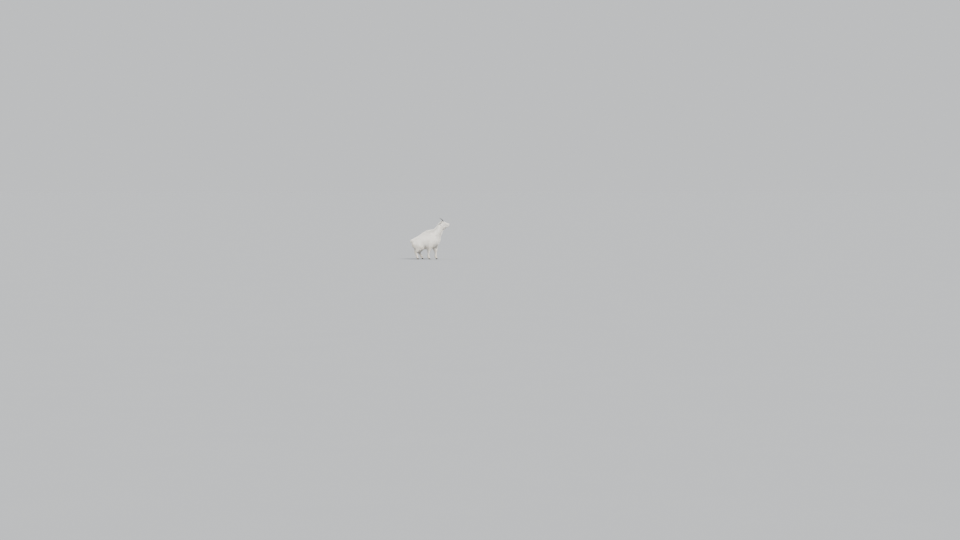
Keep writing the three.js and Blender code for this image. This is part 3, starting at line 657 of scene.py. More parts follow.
def folded(verts, faces):
    """The skin with its finer folds: the mouth, the groove of the upper lip, and wrinkles."""
    inside = into_head(verts)
    above, front = lip_line(inside)
    groove = -FOLDS["groove"] * bump(above, 0, 2.3) * front
    lips = FOLDS["lips"] * front * (bump(above, 6, 4.5) + bump(above, -6, 4.5))
    split = -FOLDS["split"] * bump(inside[:, 1], 0, 2.2) * step_up(322, 330, inside[:, 0]) * (above > 0)
    split *= step_up(-17, -9, -inside[:, 2])
    far = np.linalg.norm(on_left(inside) - eye_centre("left"), axis=1)
    wrinkles = np.sin((far - 19) * 1.15) * bump(far, 24, 5)
    wrinkles = FOLDS["wrinkle"] * wrinkles * (far > 18.6) * (far < 34)
    move = groove + lips + split + wrinkles
    verts = verts + move[:, None] * normals_of(verts, faces)
    near_lips = (front * np.exp(-((above / 5) ** 4)))[:, None]
    for _ in range(2):
        verts = verts + near_lips * (eased(verts, faces, 0.6) - verts)
    return verts


def soiling(points):
    """How far the coat is yellowed at each point: on the legs, the belly and behind."""
    low = 0.55 * step_up(-330, -120, -points[:, 2])
    belly = 0.3 * step_up(-560, -430, -points[:, 2])
    behind = 0.35 * step_up(480, 600, -points[:, 0]) * step_up(-720, -560, -points[:, 2])
    patches = np.sin(points @ (0.011, 0.017, 0.013)) * np.sin(points @ (-0.019, 0.007, 0.016) + 2)
    return np.clip(np.maximum(np.maximum(low, belly), behind) + 0.1 * patches, 0, 1)


def bare_distance(points):
    """How far each point is from bare dark skin: the nose pad, the lips, the nostrils, the lids' rims."""
    inside = into_head(points)
    mirrored = on_left(inside)
    wobble = 0.9 * np.sin(inside @ (0.15, 0.3, 0.22)) + 0.5 * np.sin(inside @ (-0.3, 0.35, 0.4))
    pad = np.minimum(ball(inside, (331, 0, 3), (15, 19, 13)), ball(inside, (333, 0, -18), (14, 9, 17)))
    pad = pad + 0.6 * wobble
    rim = ball(mirrored, NOSTRIL["at"], np.array(NOSTRIL["radii"]) + 3, nostril_axes())
    above, front = lip_line(inside)
    lips = np.abs(above) - 2.2 + 30 * (1 - front)
    eye = (mirrored - eye_centre("left")) @ eye_axes("left").T
    rims = np.hypot(eye[:, 0] / (LIDS["half"] + 2.6), eye[:, 1] / (LIDS["upper"] + 2.4)) - 1
    rims = np.where(eye[:, 2] > 4, 22 * rims, 40)
    return np.minimum(np.minimum(pad, rim), np.minimum(lips, rims))


def make_mesh(name, verts, faces, shades=None, uv=None, normals=None, other=None):
    """An object in the frame from millimetres, with its shades and its maps."""
    mesh = bpy.data.meshes.new(name)
    sides = faces.shape[1]
    mesh.vertices.add(len(verts))
    mesh.loops.add(faces.size)
    mesh.polygons.add(len(faces))
    points = (verts * MM + SHIFT).astype(np.float32)
    mesh.vertices.foreach_set("co", points.ravel())
    mesh.loops.foreach_set("vertex_index", faces.ravel().astype(np.int32))
    mesh.polygons.foreach_set("loop_start", np.arange(0, faces.size, sides, dtype=np.int32))
    mesh.polygons.foreach_set("loop_total", np.full(len(faces), sides, np.int32))
    mesh.polygons.foreach_set("use_smooth", np.ones(len(faces), bool))
    for shade, values in (shades or {}).items():
        layer = mesh.attributes.new(shade, "FLOAT", "POINT")
        layer.data.foreach_set("value", np.asarray(values, np.float32))
    for map_name, places in (("OFBake", uv), ("Face", other)):
        if places is not None:
            layer = mesh.uv_layers.new(name=map_name)
            layer.data.foreach_set("uv", np.asarray(places, np.float32).ravel())
    mesh.update(calc_edges=True)
    mesh.validate()
    if normals is not None:
        mesh.normals_split_custom_set(normals.astype(np.float32))
    piece = bpy.data.objects.new(name, mesh)
    bpy.context.scene.collection.objects.link(piece)
    return piece


def placed(piece, material, slot, *nodes):
    """Gives a finished piece its material and sets it on the goat in place of its solids. The slot is not
    used.
    """
    if not piece.data.materials:
        piece.data.materials.append(MATERIALS[material])
    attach(piece, "root")
    if nodes:
        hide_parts(*nodes)


# Each form's share of the unwrapped skin: its lower corner and its size.
CELLS = {
    "trunk": (0, 0, 0.5, 0.5),
    "neck": (0.5, 0, 0.5, 0.25),
    "head": (0.5, 0.25, 0.35, 0.25),
    "tail": (0.85, 0.25, 0.15, 0.25),
    "front_right": (0, 0.5, 0.25, 0.5),
    "front_left": (0.25, 0.5, 0.25, 0.5),
}
for row, one_side in enumerate(SIDES):
    for column, part in enumerate(("thigh", "ham", "shank", "foot")):
        CELLS[f"{part}_{one_side}"] = (0.5 + 0.125 * column, 0.5 + 0.25 * row, 0.125, 0.25)
UNWRAP_FORMS = FORMS | {"head": skull}
CELL_EDGE = 0.006


def nearest_form(points):
    """The form that each point belongs to, as its number in CELLS."""
    names = list(CELLS)
    best = np.full(len(points), np.inf)
    chosen = np.zeros(len(points), int)
    for number, name in enumerate(names):
        form = UNWRAP_FORMS[name]
        places = into_head(points) if name == "head" else points
        near = form.near(places, UNDERFUR, MARGIN)
        value = np.full(len(points), FAR)
        value[near] = form.field(places[near], UNDERFUR)
        closer = value < best
        best[closer] = value[closer]
        chosen[closer] = number
    return chosen


def unwrapped(points, chosen):
    """Each point's place on the unwrap of its form: round it, and along it."""
    uv = np.zeros((len(points), 2))
    for number, name in enumerate(CELLS):
        mine = chosen == number
        if not mine.any():
            continue
        form = UNWRAP_FORMS[name]
        places = into_head(points[mine]) if name == "head" else points[mine]
        where = form.place(places)
        off = places - looked_up(form.line, where)
        axes = looked_up(form.axes, where)
        angle = np.arctan2((off * axes[:, 6:]).sum(1), (off * axes[:, 3:6]).sum(1))
        uv[mine, 0] = angle / (2 * math.pi) + 0.5
        uv[mine, 1] = where / (len(form.line) - 1)
    return uv


def in_cells(uv, chosen):
    """Places on each form's own unwrap, in its share of the whole map."""
    cells = np.array(list(CELLS.values()))[chosen]
    return cells[:, :2] + CELL_EDGE + np.clip(uv, -0.05, 1.05) * (cells[:, 2:] - 2 * CELL_EDGE)


def skin_map(verts, faces):
    """The skin's OFBake map, a place for each corner of each face."""
    centre = verts[faces].mean(1)
    chosen = nearest_form(centre)
    middle = unwrapped(centre, chosen)
    corners = faces.shape[1]
    uv = unwrapped(verts[faces].reshape(-1, 3), np.repeat(chosen, corners))
    turn = uv[:, 0] - np.repeat(middle[:, 0], corners)
    uv[:, 0] -= np.round(turn)
    return in_cells(uv, np.repeat(chosen, corners))


# The coat's lie and make. Each row is a comb at a place: the way the hair points, how far it stands
# off, its length over the coat's depth there, its width, about how many tufts a square centimetre has,
# how far its tips draw together, how far they may pass the coat's outline, and the comb's reach.
BODY_COMBS = [
    (330, 0, 1165, -0.75, 0, -0.1, 0.9, 2.8, 2.5, 3.7, 0.45, 14, 60),
    (250, 0, 1040, -0.8, 0, -0.1, 0.9, 2.5, 2.6, 3.7, 0.45, 16, 60),
    (395, 62, 1200, -0.5, 0.15, -0.8, 0.3, 3.4, 2.54, 3.7, 0.3, 3, 60),
    (330, 84, 1060, -0.4, 0.1, -0.9, 0.3, 3.4, 2.77, 3.5, 0.4, 3, 80),
    (470, 0, 1140, 0, 0, -1, 0.2, 2.4, 2.62, 3.7, 0.4, 20, 60),
    (420, 20, 1000, 0.05, 0, -1, 0.25, 2.3, 2.93, 3.5, 0.45, 24, 80),
    (360, 20, 850, 0.1, 0, -1, 0.2, 2.2, 3, 3.5, 0.5, 24, 90),
    (200, 120, 880, -0.4, 0.15, -0.9, 0.3, 3.4, 3, 3.3, 0.4, 3, 100),
    (60, 0, 985, -0.9, 0, 0.12, 0.6, 2, 2.8, 3.9, 0.5, 20, 90),
    (-110, 0, 930, -0.9, 0, 0.1, 0.45, 2.1, 2.8, 3.7, 0.5, 14, 100),
    (-300, 0, 815, -0.95, 0, 0, 0.3, 2.7, 3, 3.3, 0.4, 3, 110),
    (-470, 0, 745, -0.9, 0, -0.2, 0.35, 3.2, 3, 3.3, 0.4, 3, 100),
    (-60, 110, 880, -0.65, 0.35, -0.5, 0.35, 3, 3, 3.3, 0.4, 3, 90),
    (-280, 120, 760, -0.7, 0.3, -0.5, 0.3, 3.2, 3, 3.3, 0.4, 3, 90),
    (100, 150, 740, -0.45, 0.1, -0.9, 0.25, 3.2, 3.16, 3.3, 0.4, 3, 100),
    (-120, 160, 720, -0.5, 0.1, -0.85, 0.25, 3.2, 3.16, 3.3, 0.4, 3, 110),
    (-320, 155, 650, -0.5, 0.1, -0.85, 0.25, 3.2, 3.16, 3.3, 0.4, 3, 110),
    (-120, 150, 570, -0.35, 0, -0.95, 0.2, 2.6, 3.16, 3.3, 0.5, 14, 90),
    (-240, 70, 490, -0.2, 0, -1, 0.1, 1.6, 3, 3.3, 0.5, 36, 90),
    (-30, 70, 480, -0.15, 0, -1, 0.1, 1.6, 3, 3.3, 0.5, 36, 90),
    (150, 60, 480, -0.05, 0, -1, 0.1, 1.6, 3, 3.3, 0.5, 36, 90),
    (330, 40, 680, 0.1, 0, -1, 0.15, 1.9, 3.16, 3.3, 0.5, 24, 90),
    (270, 70, 540, 0, 0, -1, 0.12, 1.7, 3, 3.3, 0.5, 30, 80),
    (-560, 60, 690, -0.5, 0.2, -0.85, 0.3, 3.2, 2.93, 3.5, 0.4, 3, 70),
    (-600, 60, 600, -0.2, 0, -1, 0.25, 3, 2.93, 3.5, 0.4, 8, 70),
    (-450, 160, 560, -0.35, 0.05, -1, 0.22, 2.7, 3, 3.3, 0.45, 13, 90),
    (-560, 120, 500, -0.3, 0, -1, 0.25, 2.9, 3, 3.3, 0.5, 26, 80),
    (-625, 10, 630, -0.15, 0, -1, 0.3, 3, 2.31, 5.5, 0.3, 30, 30),
]
HEAD_COMBS = [
    (258, 14, -80, -0.1, 0, -1, 0.2, 4.5, 1.5, 15, 0.3, 16, 20),
    (234, 12, -85, -0.05, 0, -1, 0.15, 7.5, 1.6, 13, 0.4, 40, 20),
    (208, 12, -89, 0.14, 0, -1, 0.12, 9.5, 1.6, 13, 0.4, 62, 26),
    (174, 12, -95, 0.12, 0, -1, 0.12, 9.5, 1.7, 12, 0.4, 72, 28),
    (136, 14, -101, 0.08, 0, -1, 0.12, 8, 1.8, 11, 0.4, 58, 28),
    (96, 14, -104, -0.05, 0, -1, 0.12, 6, 1.9, 10, 0.4, 36, 30),
    (56, 16, -98, -0.2, 0, -1, 0.15, 5, 2.1, 8, 0.45, 24, 32),
    (300, 0, 34, -1, 0, 0.15, 0.15, 3.4, 1.1, 30, 0.1, 2, 26),
    (240, 0, 45, -1, 0, 0.15, 0.12, 2.3, 1.27, 25, 0.12, 2, 32),
    (296, 40, -8, -0.9, 0.1, -0.2, 0.15, 3.6, 1.1, 30, 0.1, 2, 26),
    (240, 42, -5, -0.95, 0.05, -0.2, 0.12, 2.4, 1.27, 25, 0.12, 2, 32),
    (296, 0, -70, -0.6, 0, -0.8, 0.25, 2.4, 1.36, 25, 0.2, 6, 26),
    (180, 42, 0, -0.9, 0.05, -0.35, 0.12, 2.2, 1.36, 23, 0.15, 2, 34),
    (180, 0, 60, -0.95, 0, 0.2, 0.12, 2.2, 1.36, 23, 0.15, 2, 34),
    (136, 0, 76, -0.9, 0, 0.3, 0.2, 2.6, 1.29, 18, 0.25, 2, 30),
    (100, 52, 40, -0.9, 0.25, -0.1, 0.15, 2.2, 1.44, 21, 0.2, 2, 26),
    (70, 0, 72, -0.9, 0, 0.2, 0.6, 4.4, 2.08, 10, 0.35, 6, 30),
    (120, 58, -20, -0.7, 0.1, -0.6, 0.15, 2.4, 1.36, 16, 0.25, 2, 34),
    (60, 60, -30, -0.5, 0.1, -0.85, 0.4, 4, 2.24, 8, 0.35, 10, 38),
    (190, 38, -60, -0.6, 0, -0.8, 0.17, 2.6, 1.36, 16, 0.25, 2, 30),
    (110, 46, -84, -0.3, 0.05, -1, 0.25, 2.8, 2.08, 9, 0.4, 20, 26),
    (20, 20, 50, -0.8, 0.1, -0.1, 0.6, 4.2, 2.56, 6, 0.4, 6, 36),
]
# A leg's hair by height: how far it stands off, length over depth, width, density, drawing together,
# and passing the outline. The reach of a leg's combs follows, and how far its hair points back: further
# above the hocks than elsewhere.
LEG_LEVELS = [
    (45, 0.2, 4.4, 1.4, 17, 0.15, 3),
    (110, 0.12, 3.8, 1.5, 14, 0.15, 2),
    (210, 0.12, 3.8, 1.7, 13, 0.2, 2),
    (262, 0.16, 3.4, 1.9, 10, 0.3, 5),
    (300, 0.18, 3.2, 2.3, 7, 0.45, 16),
    (350, 0.2, 3.0, 2.7, 4.8, 0.5, 22),
    (430, 0.22, 2.7, 2.9, 3.8, 0.5, 16),
    (620, 0.25, 3.0, 3.1, 3.4, 0.4, 4),
]
LEG_REACH = 45
HOCK_BACK, LEG_BACK = -0.3, -0.05


def all_combs():
    """Every comb, on both sides, with those of the head and the legs."""
    rows = [list(row) for row in BODY_COMBS]
    for row in HEAD_COMBS:
        at = out_of_head(row[:3])
        way = np.array(row[3:6]) @ HEAD_AXES
        rows.append([*at, *way, *row[6:]])
    for mirror in [row for row in rows if abs(row[1]) > 1]:
        rows.append([mirror[0], -mirror[1], mirror[2], mirror[3], -mirror[4], *mirror[5:]])
    levels = np.array(LEG_LEVELS)
    for side in SIDES:
        hind = hind_leg(side)
        for at in [*front_leg(side)[2:], *hind["shank"][1:], *hind["foot"]]:
            x, y, z = at[:3]
            back = HOCK_BACK if x < -250 and z > 280 else LEG_BACK
            make = [np.interp(z, levels[:, 0], column) for column in levels.T[1:]]
            rows.append([x, y, z, back, 0, -1, *make, LEG_REACH])
    return np.array(rows, float)


COMBS = all_combs()
# Where the hair's make stands in a comb, counted from the way that the hair points.
COMB = {"stand": 3, "stretch": 4, "width": 5, "density": 6, "clump": 7, "beyond": 8}


def combed(points):
    """The lie of the hair and its make at each point, blended from the combs about it."""
    total = np.zeros((len(points), 9))
    weight = np.zeros(len(points))
    for comb in COMBS:
        at, make, reach = comb[:3], comb[3:12], comb[12]
        far = ((points - at) ** 2).sum(1) / reach**2
        share = 1 / (0.02 + far**2)
        weight += share
        total += share[:, None] * make
    return total / weight[:, None]


# The least and the greatest depth of the coat over the skin, and length of a tuft.
DEPTHS = (2.5, 95)
LENGTHS = (2.5, 132)


def depth_of(points):
    """How deep the coat is above each point of the skin."""
    return np.clip(-body_field(points, 1.0), *DEPTHS)


def scattered(verts, faces, weight, count):
    """Evenly drawn places on triangles: the three corners about each, and its shares of them."""
    area = np.linalg.norm(face_normals(verts, faces), axis=1)
    total = np.cumsum(area * weight[faces].mean(1))
    draws = (np.arange(count) + DRAW.random(count)) / count * total[-1]
    chosen = faces[np.minimum(np.searchsorted(total, draws), len(faces) - 1)]
    a, b = DRAW.random((2, count))
    over = a + b > 1
    a[over], b[over] = 1 - a[over], 1 - b[over]
    return chosen, np.stack([1 - a - b, a, b], -1)


def across_corners(values, chosen, shares):
    """Values of a mesh's points at scattered places."""
    return np.einsum("ij,ij...->i...", shares, values[chosen])


# How deep a tuft's root is sunk in the skin, and the least and greatest spacing of locks.
SINK = 3.0
LOCK_SPACING = (5, 28)


def drawn_together(root, tip, make, length):
    """Tips drawn towards those of the locks they belong to, and the tuft that leads each lock."""
    spacing = np.clip(length * 0.5, *LOCK_SPACING)
    chance = 100 / (make[:, COMB["density"]] * spacing**2)
    lead = np.nonzero(DRAW.random(len(root)) < chance)[0]
    tree = KDTree(len(lead))
    for number, place in enumerate(root[lead]):
        tree.insert(place, number)
    tree.balance()
    mine = lead[np.array([tree.find(place)[1] for place in root])]
    meet = tip[mine] + 0.3 * (root - root[mine])
    share = make[:, COMB["clump"]] * (0.75 + 0.5 * DRAW.random(len(root)))
    close = step_up(-2.2, -1.0, -np.linalg.norm(root - root[mine], axis=1) / spacing)
    return tip + (share * close)[:, None] * (meet - tip), mine


def shortened(root, tip, over, share):
    """Tips drawn back towards their roots where they are over a limit."""
    tip[over] = root[over] + share * (tip[over] - root[over])


def grown(root, out, make, depth):
    """Tufts from their roots: the three points that bend each, its width, its curl and its tone."""
    count = len(root)
    way = unit(make[:, :3])
    inward = np.minimum((way * out).sum(1, keepdims=True), 0)
    way = unit(way - 1.05 * inward * out)
    stand = make[:, COMB["stand"]][:, None]
    way = unit(way + stand * out + 0.1 * DRAW.standard_normal((count, 3)))
    length = np.clip(depth * make[:, COMB["stretch"]], *LENGTHS) * (0.8 + 0.4 * DRAW.random(count))
    tip = root + way * length[:, None]
    # Most tips end below the coat's outline. Those of a fringe reach past it.
    beyond = make[:, COMB["beyond"]]
    free = step_up(20, 40, beyond)
    level = beyond * (0.5 * free + (1 - 0.5 * free) * DRAW.random(count))
    level -= depth * DRAW.random(count) ** 1.3 * 0.6
    for _ in range(2):
        rise = np.clip(body_field(tip, 1.0) - level, -0.5 * length, 0.5 * length)
        tip = tip - rise[:, None] * out
    tip, mine = drawn_together(root, tip, make, length)
    # Tips that still pass it too far, or that cover bare skin, are drawn back.
    for _ in range(3):
        shortened(root, tip, body_field(tip, 1.0) > 4 + beyond, 0.8)
    for _ in range(4):
        shortened(root, tip, bare_distance(tip) < 0.3, 0.6)
    length = np.linalg.norm(tip - root, axis=1)
    width = make[:, COMB["width"]] * (0.75 + 0.5 * DRAW.random(count))
    lock_tone = DRAW.random(count)[mine]
    return {
        "root": root - SINK * out,
        "bend": root + 0.45 * (tip - root) + (0.16 * length)[:, None] * out,
        "tip": tip,
        "out": out,
        "width": width,
        "tone": np.clip(0.55 * lock_tone + 0.45 * DRAW.random(count), 0, 1),
        "curl": DRAW.standard_normal(count) * np.clip(length * 0.038, 0.1, 3.4),
        "length": length,
    }


# Where the rings of long and short tufts are along them, with their widths there.
RINGS = {
    "long": ((0, 0.8), (0.34, 1.0), (0.7, 0.66)),
    "short": ((0, 0.85), (0.45, 0.95)),
}
LONG_TUFT = 66
# How wide each tuft's patch is on the OFBake map.
PATCH = 0.003


def tuft_mesh(tufts, rings, uv):
    """Points, faces, shades, map and normals of a set of tufts, each a bent three-sided blade."""
    count = len(tufts["root"])
    root, bend, tip = tufts["root"], tufts["bend"], tufts["tip"]
    points, shares, sideways, upper, lower = [], [], [], [], []
    for t, broad in rings:
        at = (1 - t) ** 2 * root + 2 * t * (1 - t) * bend + t * t * tip
        run = unit(2 * (1 - t) * (bend - root) + 2 * t * (tip - bend))
        across = unit(np.cross(run, tufts["out"]))
        ridge = np.cross(across, run)
        at = at + across * (tufts["curl"] * math.sin(4.5 * t))[:, None]
        half = (tufts["width"] * broad / 2)[:, None]
        points += [at + across * half, at + ridge * half * 0.9, at - across * half]
        soft = unit(ridge + 0.8 * tufts["out"])
        upper += [unit(soft + 0.5 * across), soft, unit(soft - 0.5 * across)]
        lower += [-ridge] * 3
        shares += [t] * 3
        sideways += [-0.5, 0, 0.5]
    points.append(tip)
    upper.append(upper[-2])
    lower.append(lower[-1])
    shares.append(1.0)
    sideways.append(0.0)
    size = len(points)
    last = size - 1
    triangles, below = [(0, 1, 2)], [False]
    for ring in range(len(rings) - 1):
        a = ring * 3
        for k in range(3):
            b = (k + 1) % 3
            triangles += [(a + k, a + 3 + k, a + 3 + b), (a + k, a + 3 + b, a + b)]
            below += [k == 2] * 2
    top = (len(rings) - 1) * 3
    triangles += [(top + k, last, top + (k + 1) % 3) for k in range(3)]
    below += [False, False, True]
    pattern = np.array(triangles)
    corners = pattern.ravel()
    below = np.repeat(below, 3)[None, :, None]
    normals = np.where(below, np.stack(lower, 1)[:, corners], np.stack(upper, 1)[:, corners])
    verts = np.stack(points, 1).reshape(-1, 3)
    faces = (pattern[None] + size * np.arange(count)[:, None, None]).reshape(-1, 3)
    shares = np.array(shares)
    patch = np.stack([sideways, shares - 0.5], -1) * PATCH
    places = (uv[:, None] + patch[None]).reshape(-1, 2)[faces.ravel()]
    shades = {
        "tone": np.repeat(tufts["tone"], size),
        # The place along each tuft, from root to tip, which sets how much painted shade its root gets.
        "along": np.tile(shares, count),
        "stain": np.repeat(soiling(tufts["tip"]), size),
    }
    return verts, faces, shades, places, normals.reshape(-1, 3)


def joined(parts):
    """Several sets of tufts as one mesh."""
    start = 0
    faces = []
    for verts, part_faces, *_ in parts:
        faces.append(part_faces + start)
        start += len(verts)
    shades = {name: np.concatenate([part[2][name] for part in parts]) for name in parts[0][2]}
    return (
        np.concatenate([part[0] for part in parts]),
        np.concatenate(faces),
        shades,
        np.concatenate([part[3] for part in parts]),
        np.concatenate([part[4] for part in parts]),
    )


def coat_piece(name, tufts, uv):
    """One piece of the coat, from long and short tufts."""
    long = tufts["length"] > LONG_TUFT
    parts = []
    for kind, mine in (("long", long), ("short", ~long)):
        if mine.any():
            some = {key: values[mine] for key, values in tufts.items()}
            parts.append(tuft_mesh(some, RINGS[kind], uv[mine]))
    placed(make_mesh(name, *joined(parts)), "coat", "coat")


class Nodes:
    """A node tree, made one node after another."""

    def __init__(self, tree):
        self.tree = tree
        self.nodes = tree.nodes
        self.links = tree.links

    def node(self, kind, settings=None, **inputs):
        """A node with its settings. An input, by name or as i and its number, is a value, output or Term."""
        made = self.nodes.new(kind)
        for key, value in (settings or {}).items():
            setattr(made, key, value)
        for key, value in inputs.items():
            number = key[1:] if key[0] == "i" else ""
            socket = made.inputs[int(number) if number.isdigit() else key.replace("_", " ")]
            value = getattr(value, "socket", value)
            if isinstance(value, bpy.types.NodeSocket):
                self.links.new(value, socket)
            else:
                socket.default_value = value
        return made

    def math(self, way, a, b=0.0):
        """Two numbers put together."""
        return self.node("ShaderNodeMath", {"operation": way}, i0=a, i1=b).outputs[0]


def rgba(colour):
    """A colour of three parts, or a grey of one, as four."""
    parts = (colour,) * 3 if isinstance(colour, (int, float)) else colour
    return (*parts, 1)


class Paint(Nodes):
    """A material's nodes."""

    def __init__(self, name, roughness, **sockets):
        self.material = bpy.data.materials.new(name)
        self.material.use_nodes = True
        super().__init__(self.material.node_tree)
        self.shader = self.nodes["Principled BSDF"]
        self.shader.inputs["Roughness"].default_value = roughness
        for socket, value in sockets.items():
            self.shader.inputs[socket.replace("_", " ")].default_value = value

    def shade(self, name):
        """A shade that the piece's points carry."""
        return self.node("ShaderNodeAttribute", {"attribute_name": name}).outputs["Fac"]

    def place(self, scale=(1, 1, 1), source="Object"):
        """Coordinates of the piece, stretched."""
        where = self.node("ShaderNodeTexCoord").outputs[source]
        return self.node("ShaderNodeMapping", i0=where, Scale=scale).outputs[0]

    def noise(self, scale, detail=3.0, at=None, rough=0.55):
        """Cloudy noise from 0 to 1."""
        vector = at if at is not None else self.place()
        made = self.node("ShaderNodeTexNoise", Vector=vector, Scale=scale, Detail=detail, Roughness=rough)
        return made.outputs["Fac"]

    def ramp(self, value, *stops):
        """Colours between stops of place and colour."""
        made = self.node("ShaderNodeValToRGB", Fac=value)
        elements = made.color_ramp.elements
        while len(elements) < len(stops):
            elements.new(0.5)
        for element, (place, colour) in zip(elements, stops):
            element.position = place
            element.color = rgba(colour)
        return made.outputs["Color"]

    def mix(self, share, a, b, way="MIX"):
        """Two colours mixed by a share."""
        settings = {"data_type": "RGBA", "blend_type": way}
        a, b = (colour if isinstance(colour, bpy.types.NodeSocket) else rgba(colour) for colour in (a, b))
        return self.node("ShaderNodeMix", settings, i0=share, i6=a, i7=b).outputs[2]

    def finish(self, colour, height=None, depth=0.001, strength=0.6, roughness=None):
        """Joins the colour, the bump and any varying roughness to the shader."""
        self.links.new(colour, self.shader.inputs["Base Color"])
        if height is not None:
            bump = self.node("ShaderNodeBump", Height=height, Distance=depth, Strength=strength)
            self.links.new(bump.outputs["Normal"], self.shader.inputs["Normal"])
        if roughness is not None:
            self.links.new(roughness, self.shader.inputs["Roughness"])
        return self.material


WHITE = (0.88, 0.86, 0.81)
BRIGHT = (0.9, 0.88, 0.84)
CREAM = (0.82, 0.775, 0.69)
SOILED = (0.60, 0.51, 0.37)
# Painted shade: the darker, creamier colour the hair takes towards its roots, standing in for the shade
# between the tufts.
ROOT_SHADE = (0.81, 0.775, 0.72)
BARE = (0.022, 0.018, 0.017)
WORN_BARE = (0.05, 0.04, 0.038)
# The distance from bare skin's edge over which its shade runs from 0 to 1, in millimetres, and half the
# share of that in which its colour changes.
BARE_REACH = 16
BARE_EDGE = 0.045
# How fine the strands within a tuft are across its patch of the map and along it.
STRANDS = (2800, 260, 1)


def coat_colour(paint):
    """White wool, creamier in places, darker and creamier towards the roots with painted shade, and yellowed
    where it is soiled.
    """
    base = paint.ramp(paint.shade("tone"), (0, CREAM), (0.55, WHITE), (1, BRIGHT))
    base = paint.mix(paint.ramp(paint.noise(9), (0.42, 0), (0.7, 0.5)), base, CREAM)
    stained = paint.math("MULTIPLY", paint.shade("stain"), paint.noise(38))
    base = paint.mix(paint.math("MULTIPLY", stained, 1.5), base, SOILED)
    # Painted shade: each tuft darkens towards its root, where shade falls between the tufts.
    base = paint.mix(paint.ramp(paint.shade("along"), (0, 0.5), (0.5, 0)), base, ROOT_SHADE)
    strands = paint.noise(1, 2, paint.place(STRANDS, "UV"))
    return paint.mix(0.8, base, paint.ramp(strands, (0.36, 0.84), (0.56, 1)), "MULTIPLY")


def coat_material():
    """The hair's own finish."""
    paint = Paint("coat_hair", 0.62, Specular_IOR_Level=0.25, Sheen_Weight=0.4, Sheen_Roughness=0.5)
    strands = paint.noise(1, 2, paint.place(STRANDS, "UV"))
    return paint.finish(coat_colour(paint), strands, 0.0005, 0.5)


def skin_material():
    """Underfur, with bare, dark, finely cobbled skin at the nose, lips and lids."""
    paint = Paint("skin_and_underfur", 0.8, Specular_IOR_Level=0.3)
    dark = paint.ramp(paint.shade("dark"), (0.5 - BARE_EDGE, 0), (0.5 + BARE_EDGE, 1))
    fleece = paint.ramp(paint.noise(170, 5, paint.place((1, 1, 0.45))), (0.3, 0), (0.7, 1))
    cells = paint.node("ShaderNodeTexVoronoi", Scale=620, Vector=paint.place()).outputs["Distance"]
    grain = paint.mix(dark, fleece, paint.ramp(cells, (0, 0.2), (0.6, 0.75)))
    bare = paint.ramp(paint.noise(60), (0.3, BARE), (0.75, WORN_BARE))
    rough = paint.ramp(dark, (0.2, 0.85), (0.9, 0.42))
    return paint.finish(paint.mix(dark, coat_colour(paint), bare), grain, 0.0012, 0.5, rough)


def horn_material():
    """Black horn with fine grain along it, paler where it is scuffed."""
    paint = Paint("black_horn", 0.4, Specular_IOR_Level=0.4)
    grain = paint.noise(1, 6, paint.place((60, 260, 1), "UV"))
    blacks = ((0.3, (0.007, 0.006, 0.006)), (0.62, (0.018, 0.016, 0.015)), (0.8, (0.055, 0.046, 0.04)))
    rough = paint.ramp(paint.noise(40), (0.3, 0.30), (0.75, 0.55))
    return paint.finish(paint.ramp(grain, *blacks), grain, 0.0007, 0.5, rough)


def hoof_material():
    """Dark hoof with growth lines, dusty and worn pale at its lower edge."""
    paint = Paint("hoof_horn", 0.55, Specular_IOR_Level=0.4)
    lines = paint.noise(1, 4, paint.place((40, 40, 420)))
    colour = paint.ramp(lines, (0.3, (0.011, 0.0095, 0.0085)), (0.7, (0.022, 0.019, 0.017)))
    height = paint.node("ShaderNodeSeparateXYZ", Vector=paint.place()).outputs["Z"]
    worn = paint.ramp(paint.math("MULTIPLY", height, 40), (0, 0.8), (0.35, 0))
    worn = paint.mix(1, worn, paint.ramp(paint.noise(90), (0.3, 0.2), (0.7, 1)), "MULTIPLY")
    return paint.finish(paint.mix(worn, colour, (0.12, 0.10, 0.08)), lines, 0.0006, 0.5)


def lid_material():
    """The lids' bare, dark, slightly moist rims."""
    paint = Paint("lid_skin", 0.35, Specular_IOR_Level=0.5)
    colour = paint.ramp(paint.noise(240), (0.3, (0.016, 0.012, 0.011)), (0.7, (0.045, 0.034, 0.030)))
    return paint.finish(colour, paint.noise(700), 0.0005, 0.5)


def eye_material():
    """A goat's eye: an amber-brown iris with a level, black, oblong pupil, behind a clear front."""
    paint = Paint("eye", 0.04, Specular_IOR_Level=0.5)
    face = paint.node("ShaderNodeUVMap", {"uv_map": "Face"}).outputs["UV"]

    def from_middle(*scale):
        where = paint.node("ShaderNodeMapping", i0=face, Scale=(*scale, 0)).outputs[0]
        return paint.node("ShaderNodeVectorMath", {"operation": "LENGTH"}, i0=where).outputs["Value"]

    rays = paint.noise(9, 4, paint.node("ShaderNodeMapping", i0=face, Scale=(3, 3, 3)).outputs[0])
    iris = paint.ramp(rays, (0.3, (0.034, 0.015, 0.006)), (0.7, (0.105, 0.050, 0.017)))
    iris = paint.mix(paint.ramp(from_middle(1, 1), (0.55, 0), (0.82, 1)), iris, (0.012, 0.008, 0.006))
    pupil = paint.ramp(from_middle(1.45, 4.2), (0.86, 1), (1, 0))
    return paint.finish(paint.mix(pupil, iris, (0.002, 0.002, 0.003)))


def ear_material():
    """Short white hair outside the ear and grey-pink skin within."""
    paint = Paint("ear_skin", 0.75, Specular_IOR_Level=0.25)
    inner = paint.ramp(paint.noise(70), (0.3, (0.60, 0.52, 0.48)), (0.7, (0.72, 0.66, 0.61)))
    colour = paint.mix(paint.shade("dark"), coat_colour(paint), inner)
    return paint.finish(colour, paint.noise(420, 4), 0.0008, 0.5)


